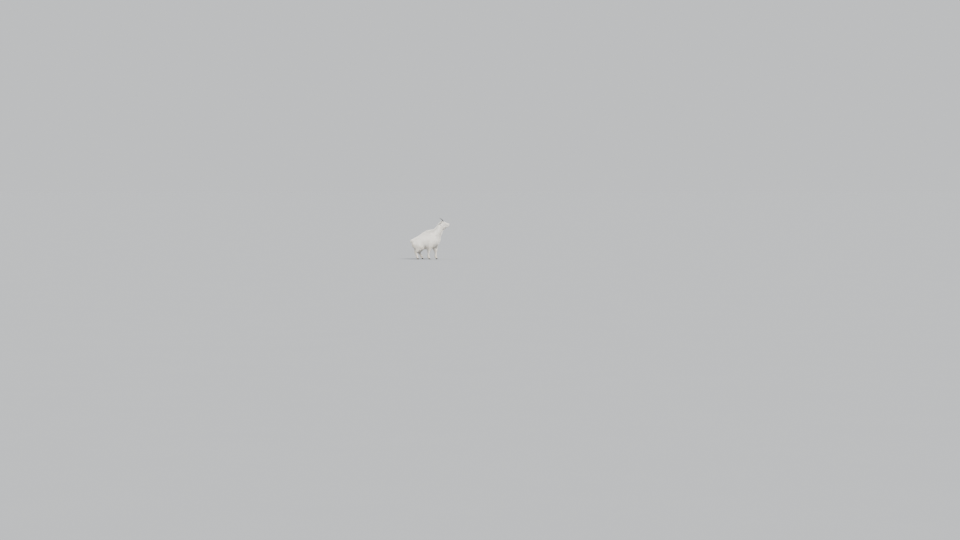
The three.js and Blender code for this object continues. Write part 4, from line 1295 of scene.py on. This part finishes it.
def floor_material():
    """A plain, pale, matt floor."""
    paint = Paint("studio_floor", 0.9, Specular_IOR_Level=0)
    colour = paint.ramp(paint.noise(0.6), (0.3, (0.262, 0.269, 0.277)), (0.7, (0.266, 0.273, 0.281)))
    return paint.finish(colour)


MATERIALS = {
    "coat": coat_material(),
    "skin": skin_material(),
    "horn": horn_material(),
    "hoof": hoof_material(),
    "lid": lid_material(),
    "eye": eye_material(),
    "ear": ear_material(),
    "floor": floor_material(),
}


class Term:
    """A number that a tree of nodes works out, for use in plain sums."""

    def __init__(self, rule, socket):
        self.rule = rule
        self.socket = socket

    def __add__(self, other):
        return self.rule.sum("ADD", self, other)

    def __sub__(self, other):
        return self.rule.sum("SUBTRACT", self, other)

    def __rsub__(self, other):
        return self.rule.sum("SUBTRACT", other, self)

    def __mul__(self, other):
        return self.rule.sum("MULTIPLY", self, other)

    def __truediv__(self, other):
        return self.rule.sum("DIVIDE", self, other)

    def __pow__(self, other):
        return self.rule.sum("POWER", self, other)

    __radd__ = __add__
    __rmul__ = __mul__


class Rule(Nodes):
    """A Geometry Nodes tree with named sizes, which gives a closed tube its shape by a rule."""

    def __init__(self, name, *sizes):
        super().__init__(bpy.data.node_groups.new(name, "GeometryNodeTree"))
        kinds = {"Around": "Int", "Along": "Int", "Material": "Material"}
        for size in (*sizes, *kinds):
            kind = f"NodeSocket{kinds.get(size, 'Float')}"
            self.tree.interface.new_socket(size, in_out="INPUT", socket_type=kind)
        self.tree.interface.new_socket("Shape", in_out="OUTPUT", socket_type="NodeSocketGeometry")
        self.inputs = self.node("NodeGroupInput").outputs
        counts = {"Vertices_X": self["Around"] + 1, "Vertices_Y": self["Along"] + 1}
        self.grid = self.node("GeometryNodeMeshGrid", **counts)
        place = self.node("ShaderNodeSeparateXYZ", Vector=self.grid.outputs["UV Map"]).outputs
        self.turn = Term(self, place["X"]) * (2 * math.pi)
        self.row = Term(self, place["Y"]) * self["Along"]
        clamped = {"operation": "DIVIDE", "use_clamp": True}
        share = self.node("ShaderNodeMath", clamped, i0=self.row - 1, i1=self["Along"] - 2)
        self.along = Term(self, share.outputs[0])

    def __getitem__(self, size):
        return Term(self, self.inputs[size])

    def sum(self, way, a, b=0.0):
        """Two terms put together, or one changed, as the operation's name says."""
        return Term(self, self.math(way, a, b))

    def step_up(self, low, high, term):
        """0 below `low`, 1 above `high`, and a smooth rise between."""
        smooth = {"interpolation_type": "SMOOTHSTEP"}
        made = self.node("ShaderNodeMapRange", smooth, Value=term, From_Min=low, From_Max=high)
        return Term(self, made.outputs["Result"])

    def within(self):
        """1 along the tube and 0 in its first and last rows, which close its ends."""
        return self.sum("GREATER_THAN", self.row, 0.5) * self.sum("LESS_THAN", self.row, self["Along"] - 0.5)

    def finish(self, x, y, z):
        """Sets the tube's points, joins its seam and its ends, and gives it its map and material."""
        tube, uv = self.grid.outputs["Mesh"], self.grid.outputs["UV Map"]
        point = self.node("ShaderNodeCombineXYZ", X=x, Y=y, Z=z).outputs[0]
        map_kind = {"data_type": "FLOAT2", "domain": "CORNER"}
        steps = (
            ("StoreNamedAttribute", map_kind, {"Name": "OFBake", "Value": uv}),
            ("SetPosition", {}, {"Position": point}),
            ("MergeByDistance", {}, {"Distance": TINY}),
            ("SetShadeSmooth", {}, {}),
            ("RealizeInstances", {}, {}),
            ("SetMaterial", {}, {"Material": self.inputs["Material"]}),
        )
        for kind, settings, inputs in steps:
            tube = self.node(f"GeometryNode{kind}", settings, Geometry=tube, **inputs).outputs[0]
        self.node("NodeGroupOutput", Shape=tube)
        return self

    def made(self, name, sizes, matrix):
        """The rule's shape at those sizes, as an object with a plain mesh that the matrix has placed."""
        piece = bpy.data.objects.new(name, bpy.data.meshes.new(name))
        bpy.context.scene.collection.objects.link(piece)
        modifier = piece.modifiers.new(name, "NODES")
        modifier.node_group = self.tree
        for size, value in sizes.items():
            modifier[self.tree.interface.items_tree[size].identifier] = value
        graph = bpy.context.evaluated_depsgraph_get()
        shaped = piece.evaluated_get(graph)
        mesh = bpy.data.meshes.new_from_object(shaped, preserve_all_data_layers=True, depsgraph=graph)
        piece.modifiers.clear()
        piece.data = mesh
        # The grid comes with an empty place for a material ahead of the rule's own.
        mesh.materials.pop(index=0)
        mesh.uv_layers["OFBake"].active_render = True
        mesh.transform(matrix)
        return piece


def closed_rings(rings):
    """Faces over rings of points, with a pole at each end, and a map round and along them."""
    rings = np.asarray(rings, float)
    along, around = rings.shape[:2]
    verts = np.vstack([rings.reshape(-1, 3), rings[0].mean(0), rings[-1].mean(0)])
    start, end, last = len(verts) - 2, len(verts) - 1, (along - 1) * around
    i, k = np.meshgrid(np.arange(along - 1), np.arange(around), indexing="ij")
    after = (k + 1) % around
    a, b, c, d = i * around + k, (i + 1) * around + k, (i + 1) * around + after, i * around + after
    sides = np.stack([a, b, c, a, c, d], -1).reshape(-1, 3)
    u = np.stack([k, k, k + 1, k, k + 1, k + 1], -1).ravel() / around
    v = np.stack([i, i + 1, i + 1, i, i + 1, i], -1).ravel() / (along - 1)
    k, after = k[0], after[0]
    first_cap = np.stack([np.full(around, start), k, after], -1)
    last_cap = np.stack([np.full(around, end), last + after, last + k], -1)
    faces = np.vstack([sides, first_cap, last_cap])
    first_share = np.stack([k + 0.5, k, k + 1], -1).ravel() / around
    last_share = np.stack([k + 0.5, k + 1, k], -1).ravel() / around
    u = np.concatenate([u, first_share, last_share])
    v = np.concatenate([v, np.zeros(around * 3), np.ones(around * 3)])
    if (face_normals(verts, faces) * (verts[faces].mean(1) - verts.mean(0))).sum() < 0:
        faces = faces[:, ::-1]
        u, v = u.reshape(-1, 3)[:, ::-1].ravel(), v.reshape(-1, 3)[:, ::-1].ravel()
    return verts, faces, inset(np.stack([u, v], -1))


def inset(uv):
    """A map from 0 to 1, kept clear of its edges."""
    return 0.02 + 0.96 * uv


def horn_rule():
    """A horn as a tapered arc, oval across, with rings of growth over its lower half."""
    rule = Rule("ringed_horn", "Length", "Base", "Tip", "Lean", "Bend", "Spread", "Phase")
    along, turn = rule.along, rule.turn
    lean = rule["Lean"]
    angle = lean + rule["Bend"] * along
    arc = rule["Length"] / rule["Bend"]
    slant, upright = rule.sum("COSINE", angle), rule.sum("SINE", angle)
    taper = rule["Tip"] + (rule["Base"] - rule["Tip"]) * (1 - along) ** 0.75
    ringed = rule.step_up(0.06, 0.12, along) * (1 - rule.step_up(0.4, 0.62, along))
    uneven = 0.05 * rule.sum("SINE", 3 * turn + rule["Phase"])
    wave = rule.sum("SINE", (22 * along**0.85 + uneven) * (2 * math.pi))
    wave = rule.sum("MAXIMUM", wave, 0) ** 2
    swell = 1 + ringed * (0.055 * wave - 0.02) + 0.012 * rule.sum("SINE", 5 * turn + 9 * along)
    thick = taper * swell * rule.within()
    rise = 1.04 * thick * rule.sum("COSINE", turn)
    side = -0.84 * thick * rule.sum("SINE", turn)
    back = arc * (slant - rule.sum("COSINE", lean)) - slant * rise
    aside = rule["Length"] * rule["Spread"] * (along - 0.15 * along * along) + side
    up = arc * (upright - rule.sum("SINE", lean)) - upright * rise
    return rule.finish(back, aside, up)


def claw_rule():
    """One claw of a cloven hoof: a flat sole, a sloping wall with growth ridges, a pointed toe."""
    rule = Rule("claw", "Length", "Width", "Height")
    toe, side = rule.sum("COSINE", rule.turn), rule.sum("SINE", rule.turn)
    height = rule["Height"] * rule.along
    edge = 0.93 + 0.07 * rule.step_up(-3, 5, height)
    ridges = 1 + 0.008 * rule.sum("SINE", height * 1.5) * rule.step_up(3, 6, height)
    scale = edge * ridges * (1 - 0.2 * rule.along) * rule.within() / 2
    pointed = 1 - toe * toe * (0.12 + 0.33 * rule.sum("GREATER_THAN", toe, 0))
    ahead = rule["Length"] * scale * toe - 0.25 * height
    return rule.finish(ahead, rule["Width"] * scale * pointed * side, height)


def dewclaw_rule():
    """A dewclaw: a short, blunt cone that leans back behind the pastern."""
    rule = Rule("dewclaw", "Radius", "Length", "Lean")
    slant, upright = rule.sum("SINE", rule["Lean"]), rule.sum("COSINE", rule["Lean"])
    down = rule["Length"] * rule.along
    thick = rule["Radius"] * (1 - 0.56 * rule.along**2.5) * rule.within()
    rise = thick * rule.sum("COSINE", rule.turn)
    side = -1 * thick * rule.sum("SINE", rule.turn)
    return rule.finish(rise * upright - down * slant, side, -1 * (rise * slant + down * upright))


# The rules that give the horns, claws and dewclaws their shapes.
RULES = {"horn": horn_rule(), "claw": claw_rule(), "dewclaw": dewclaw_rule()}


def from_head(at):
    """The matrix that takes millimetres in the head's axes, about a place there, to the goat's place."""
    turn = Matrix([[*row, 0] for row in HEAD_AXES.T * MM] + [[0, 0, 0, 1]])
    return Matrix.Translation(out_of_head(at) * MM + SHIFT) @ turn


def from_goat(*at):
    """The matrix that takes millimetres about a place of the goat to the goat's place."""
    return Matrix.Translation(SHIFT) @ Matrix.Scale(MM, 4) @ Matrix.Translation(at)


def horn(side):
    """A horn: black, round, ringed over its lower half, curving back and a little outwards."""
    out = SIDES[side]
    sizes = {
        "Length": float(HORN["length"] + HORN["root"]),
        "Base": float(HORN["base"]),
        "Tip": HORN["tip"],
        "Lean": math.radians(HORN["lean"]),
        "Bend": math.radians(HORN["bend"]),
        "Spread": out * math.sin(math.radians(HORN["spread"])),
        "Phase": float(out),
        "Around": 40,
        "Along": 226,
        "Material": MATERIALS["horn"],
    }
    root = from_head((HORN["x"], out * HORN["y"], HORN["z"] - HORN["root"]))
    piece = RULES["horn"].made(f"horn_{side}_ringed", sizes, root)
    placed(piece, "horn", "horn", f"horn_{side}")


def hooves(pair, side):
    """One foot's two claws and two dewclaws."""
    foot, y = FOOT[pair][side], SIDES[side] * TRACK[pair]
    finish = {"Material": MATERIALS["hoof"]}
    claw = {size.capitalize(): float(CLAW[size]) for size in ("length", "width", "height")}
    claw |= finish | {"Around": 44, "Along": 44}
    dewclaw = {size.capitalize(): float(DEWCLAW[size]) for size in ("radius", "length")}
    dewclaw |= finish | {"Lean": math.radians(DEWCLAW["lean"]), "Around": 24, "Along": 20}
    for place, away in (("outer", SIDES[side]), ("inner", -SIDES[side])):
        name = f"{pair}_{side}_{place}"
        splayed = Matrix.Rotation(math.radians(away * CLAW["splay"]), 4, "Z")
        at = from_goat(foot + CLAW["ahead"], y + away * CLAW["apart"], 0) @ splayed
        piece = RULES["claw"].made(f"claw_{name}", claw, at)
        placed(piece, "hoof", "hoof", f"hoof_{name}")
        at = from_goat(foot - DEWCLAW["behind"], y + away * DEWCLAW["apart"], DEWCLAW["z"])
        piece = RULES["dewclaw"].made(f"small_claw_{name}", dewclaw, at)
        placed(piece, "hoof", "hoof", f"dewclaw_{name}")


# How far the eye's clear front stands proud, as a share, how wide it is, and how far the iris reaches.
CLEAR_FRONT = (0.07, 0.5)
IRIS_REACH = 0.78


def eyeball(side):
    """The eye, with a clear front that stands proud of the ball."""
    turn, rows = 48, 32
    angle = np.linspace(0, 2 * math.pi, turn, endpoint=False)
    proud, width = CLEAR_FRONT
    rings, flats = [], []
    for tilt in np.linspace(0.02, math.pi - 0.02, rows):
        radius = 1 + proud * math.exp(-((tilt / width) ** 2))
        flat = np.stack([np.cos(angle) * math.sin(tilt), np.sin(angle) * math.sin(tilt)], -1)
        local = np.hstack([flat, np.full((turn, 1), math.cos(tilt))]) * EYE["radius"] * radius
        rings.append(out_of_head(eye_centre(side) + local @ eye_axes(side)))
        flats.append(flat)
    verts, faces, uv = closed_rings(rings)
    face_map = np.vstack([*flats, np.zeros((2, 2))])[faces.ravel()] / IRIS_REACH
    piece = make_mesh(f"eye_{side}_ball", verts, faces, uv=uv, other=face_map)
    placed(piece, "eye", "eye", f"eye_{side}")


def lids(side):
    """The rims of the lids: a closed band round the opening, thicker above."""
    around, turn = 96, 12
    angle = np.linspace(0, 2 * math.pi, around, endpoint=False)
    tall = np.where(np.sin(angle) > 0, LIDS["upper"], LIDS["lower"])
    x = LIDS["half"] * np.cos(angle)
    y = tall * np.sign(np.sin(angle)) * np.abs(np.sin(angle)) ** 1.4
    z = np.sqrt(np.maximum((EYE["radius"] + 0.9) ** 2 - x**2 - y**2, 9))
    line = np.stack([x, y, z], -1)
    run = unit(np.roll(line, -1, 0) - np.roll(line, 1, 0))
    away = unit(line)
    aside = np.cross(run, away)
    thick = (LIDS["thick"] + LIDS["brow"] * np.clip(np.sin(angle), 0, 1))[:, None]
    tilts = np.linspace(0, 2 * math.pi, turn, endpoint=False)
    rings = np.stack([line + thick * (math.cos(t) * away * 1.1 + math.sin(t) * aside) for t in tilts], 1)
    i, k = np.meshgrid(np.arange(around), np.arange(turn), indexing="ij")
    j, m = (i + 1) % around, (k + 1) % turn
    faces = np.stack([i * turn + k, j * turn + k, j * turn + m, i * turn + m], -1).reshape(-1, 4)
    verts = out_of_head(eye_centre(side) + rings.reshape(-1, 3) @ eye_axes(side))
    u = np.stack([i, i + 1, i + 1, i], -1).reshape(-1, 4) / around
    v = np.stack([k, k, k + 1, k + 1], -1).reshape(-1, 4) / turn
    middles = np.repeat(verts.reshape(around, turn, 3).mean(1), turn, 0)
    if (face_normals(verts, faces) * (verts[faces].mean(1) - middles)).sum() < 0:
        faces, u, v = faces[:, ::-1], u[:, ::-1], v[:, ::-1]
    uv = inset(np.stack([u.ravel(), v.ravel()], -1))
    placed(make_mesh(f"lids_{side}", verts, faces, uv=uv), "lid", "coat")


def ear_place(side):
    """The middle of the ear's root, in the head's axes."""
    return np.array([EAR["x"], SIDES[side] * EAR["y"], EAR["z"]])


def ear_frame(side):
    """The ear's axes as rows: the way it opens, its breadth and its length, in the head's axes."""
    out = SIDES[side]
    axis = unit(np.array([-0.46, out * 0.85, 0.26]))
    opening = np.array([0.86, out * 0.5, -0.1])
    opening = unit(opening - axis * (opening @ axis))
    return np.array([opening, np.cross(axis, opening), axis])


# The ear by its length: the shell's radius, the angle it wraps, its middle, and its wall.
EAR_LEVELS = [
    (-0.10, 12.0, 300, -1.0, 3.2),
    (0.06, 14.5, 270, 0.5, 3.2),
    (0.22, 21.0, 205, 6.5, 3.0),
    (0.42, 28.0, 150, 15.0, 2.8),
    (0.62, 28.0, 125, 15.5, 2.6),
    (0.80, 21.0, 105, 8.0, 2.3),
    (0.93, 11.0, 88, -2.0, 2.0),
    (1.0, 3.2, 80, -9.0, 1.4),
]
# Points round the back of the shell, and as many over its hollow.
EAR_HALF = 18
# The ear's hair: its tufts, and its length and width within the hollow and outside it.
EAR_HAIR = {"tufts": 3600, "length": (26, 12), "width": (1.15, 1.6), "sink": 0.8}


def ear_shell(side):
    """The ear's cupped shell, as rings of points: round its back and in again over its hollow."""
    rings = []
    for share, radius, wrap, middle, wall in smooth_line(EAR_LEVELS, 7):
        angle = np.radians(np.linspace(-wrap / 2, wrap / 2, EAR_HALF))
        back = np.stack([middle - radius * np.cos(angle), radius * np.sin(angle)], -1)
        inner = max(radius - wall, 0.6)
        front = np.stack([middle - inner * np.cos(angle), inner * np.sin(angle)], -1)[::-1] * (1, 0.97)
        loop = np.vstack([back, front])
        local = np.hstack([loop, np.full((len(loop), 1), share * EAR["length"])])
        rings.append(out_of_head(ear_place(side) + local @ ear_frame(side)))
    return np.array(rings)


def ear(side):
    """The ear's shell; returned as the mesh that its hair grows on, with its hollow's points told."""
    verts, faces, uv = closed_rings(ear_shell(side))
    around = 2 * EAR_HALF
    place = np.arange(len(verts)) % around
    inner = ((place > EAR_HALF + 1) & (place < around - 2)).astype(float)
    inner[-2:] = 0
    shades = {
        "dark": inner,
        "tone": np.full(len(verts), 0.6),
        "stain": np.zeros(len(verts)),
        "along": np.full(len(verts), 0.5),
    }
    placed(make_mesh(f"ear_{side}_shell", verts, faces, shades, uv), "ear", "coat", f"ear_{side}")
    return verts, faces, uv, inner


def ear_hair(side, verts, faces, uv, inner):
    """Short hair on the ear's back, and longer hair that crosses its hollow from the edges."""
    make = EAR_HAIR
    opening, _, axis = ear_frame(side) @ HEAD_AXES
    normals = normals_of(verts, faces)
    corner_uv = np.zeros((len(verts), 2))
    corner_uv[faces.ravel()] = uv
    share = (into_head(verts) - ear_place(side)) @ ear_frame(side)[2]
    grows = step_up(-8, 6, share) * np.where(inner > 0.5, 0.6, 1.0)
    chosen, shares = scattered(verts, faces, grows, make["tufts"])
    root = across_corners(verts, chosen, shares)
    out = unit(across_corners(normals, chosen, shares))
    within = across_corners(inner, chosen, shares) > 0.5
    count = len(root)
    way = unit(axis + 0.14 * out + 0.1 * DRAW.standard_normal((count, 3)))
    length = np.where(within, *make["length"]) * (0.7 + 0.6 * DRAW.random(count))
    way = np.where(within[:, None], unit(way + 0.1 * opening), way)
    tip = root + way * length[:, None]
    tufts = {
        "root": root - make["sink"] * out,
        "bend": root + 0.45 * (tip - root) + (0.14 * length)[:, None] * out,
        "tip": tip,
        "out": out,
        "width": np.where(within, *make["width"]) * (0.75 + 0.5 * DRAW.random(count)),
        "tone": 0.4 + 0.6 * DRAW.random(count),
        "curl": 0.4 * DRAW.standard_normal(count),
        "length": length,
    }
    coat_piece(f"ear_{side}_hair", tufts, across_corners(corner_uv, chosen, shares))


# The solids that the one skin stands in for.
FLESH = ["head", "neck", "torso", "tail"]
for one_pair in TRACK:
    for one_side in SIDES:
        FLESH += [f"leg_{one_pair}_{one_side}_{part}" for part in ("upper", "lower")]


def skin_piece():
    """The goat's one skin; returned as the mesh that the coat grows on, with how far bare skin is."""
    verts, faces = skin_mesh()
    uv = skin_map(verts, faces)
    bare = bare_distance(verts)
    shades = {
        "dark": np.clip(0.5 - bare / BARE_REACH, 0, 1),
        "stain": soiling(verts),
        "tone": np.full(len(verts), 0.5),
        # Painted shade: the underfur takes part of the darkening painted at the tufts' roots.
        "along": np.full(len(verts), 0.22),
    }
    verts = folded(verts, faces)
    placed(make_mesh("skin", verts, faces, shades, uv), "skin", "coat", *FLESH)
    return verts, faces, bare


# The piece of the coat that each form's tufts belong to.
COAT_OF = {"trunk": "quarters", "ham": "thigh", "shank": "thigh", "foot": "hind_foot", "front": "foreleg"}
# Where the shoulders' piece begins, and where the fore foot's ends.
SHOULDERS_X = -160
FORE_FOOT_Z = 290


def coat_names(points, chosen):
    """Which piece of the coat each tuft belongs to."""
    names = []
    for form, (x, y, z) in zip(np.array(list(CELLS))[chosen], points):
        kind = form.rsplit("_", 1)[0]
        kind = COAT_OF.get(kind, kind)
        if kind == "quarters" and x > SHOULDERS_X:
            kind = "shoulders"
        if kind == "foreleg" and z < FORE_FOOT_Z:
            kind = "fore_foot"
        whole = kind in ("tail", "hind_foot", "fore_foot")
        names.append(f"coat_{kind}" if whole else f"coat_{kind}_{'right' if y < 0 else 'left'}")
    return np.array(names)


# How many tufts the coat has, and how far from bare skin they begin.
TUFTS = 120000
BARE_MARGIN = 1.9


def eye_openings(verts):
    """1 at the points of the skin in the lids' openings."""
    inside = np.zeros(len(verts))
    for side in SIDES:
        local = (into_head(verts) - eye_centre(side)) @ eye_axes(side).T
        wide = np.hypot(local[:, 0] / (LIDS["half"] + 3), local[:, 1] / (LIDS["upper"] + 3))
        inside = np.maximum(inside, (wide < 1) * (local[:, 2] > 0))
    return inside


def coat(verts, faces, bare):
    """The whole coat, as tufts over the skin, short beside bare skin."""
    normals = normals_of(verts, faces)
    make = combed(verts)
    make[:, COMB["stretch"]] *= np.clip(bare / 10, 0.25, 1)
    make[:, COMB["beyond"]] *= step_up(2, 14, bare)
    furred = (bare > BARE_MARGIN) * (1 - eye_openings(verts)) * (verts[:, 2] > CORONET_Z + 4)
    chosen, shares = scattered(verts, faces, make[:, COMB["density"]] * furred, TUFTS)
    root = across_corners(verts, chosen, shares)
    out = unit(across_corners(normals, chosen, shares))
    tufts = grown(root, out, across_corners(make, chosen, shares), depth_of(root))
    forms = nearest_form(root)
    uv = in_cells(unwrapped(root, forms), forms)
    names = coat_names(root, forms)
    for name in np.unique(names):
        mine = names == name
        coat_piece(str(name), {key: values[mine] for key, values in tufts.items()}, uv[mine])


coat(*skin_piece())
for one_side in SIDES:
    horn(one_side)
    eyeball(one_side)
    lids(one_side)
    ear_hair(one_side, *ear(one_side))
    for one_pair in TRACK:
        hooves(one_pair, one_side)

# Half the width of the studio's floor, in metres.
FLOOR = 400.0


def studio_floor():
    """A wide, plain floor."""
    mesh = bpy.data.meshes.new("floor")
    corners = [(-FLOOR, -FLOOR, 0), (FLOOR, -FLOOR, 0), (FLOOR, FLOOR, 0), (-FLOOR, FLOOR, 0)]
    mesh.from_pydata(corners, [], [(0, 1, 2, 3)])
    mesh.materials.append(MATERIALS["floor"])
    floor = bpy.data.objects.new("floor", mesh)
    bpy.context.scene.collection.objects.link(floor)


def soft_light(name, towards, strength, spread_angle, colour):
    """A soft light from far away."""
    data = bpy.data.lights.new(name, "SUN")
    data.energy = strength
    data.angle = math.radians(spread_angle)
    data.color = colour
    lamp = bpy.data.objects.new(name, data)
    lamp.rotation_mode = "QUATERNION"
    lamp.rotation_quaternion = Vector(towards).to_track_quat("-Z", "Y")
    bpy.context.scene.collection.objects.link(lamp)


def surround(colour, strength):
    """A plain, pale surround."""
    world = bpy.data.worlds.new("studio")
    world.use_nodes = True
    background = world.node_tree.nodes["Background"]
    background.inputs["Color"].default_value = (*colour, 1)
    background.inputs["Strength"].default_value = strength
    bpy.context.scene.world = world


studio_floor()
soft_light("key_light", (-0.45, 0.62, -0.75), 8.0, 24, (1.0, 0.98, 0.95))
soft_light("fill_light", (0.7, -0.5, -0.5), 3.0, 60, (0.93, 0.96, 1.0))
surround((0.79, 0.81, 0.83), 1.0)

# The camera keeps the photo's framing: the goat is small and left of the middle, seen side on.
LENS, SENSOR = 100, 36
PICTURE = (960, 540)
MM_PER_PIXEL = 35.5
# The pixel at which the goat's origin on the floor stands.
GOAT_ORIGIN = (428.8, 259.3)
LIFT = math.radians(2)
# How far the camera sees, in metres.
HORIZON = 2000


def photo_camera():
    """The camera, which looks at the picture's middle from the goat's right and a little above."""
    pixel = MM_PER_PIXEL * MM
    beside = (PICTURE[0] / 2 - GOAT_ORIGIN[0]) * pixel + SHIFT[0]
    aim = Vector((beside, SHIFT[1], (GOAT_ORIGIN[1] - PICTURE[1] / 2) * pixel))
    back = Vector((0, -math.cos(LIFT), math.sin(LIFT)))
    data = bpy.data.cameras.new("camera")
    data.lens = LENS
    data.sensor_width = SENSOR
    data.clip_end = HORIZON
    camera = bpy.data.objects.new("camera", data)
    camera.location = aim + back * (PICTURE[0] * pixel * LENS / SENSOR)
    camera.rotation_mode = "QUATERNION"
    camera.rotation_quaternion = (-back).to_track_quat("-Z", "Y")
    bpy.context.scene.collection.objects.link(camera)
    bpy.context.scene.camera = camera


photo_camera()
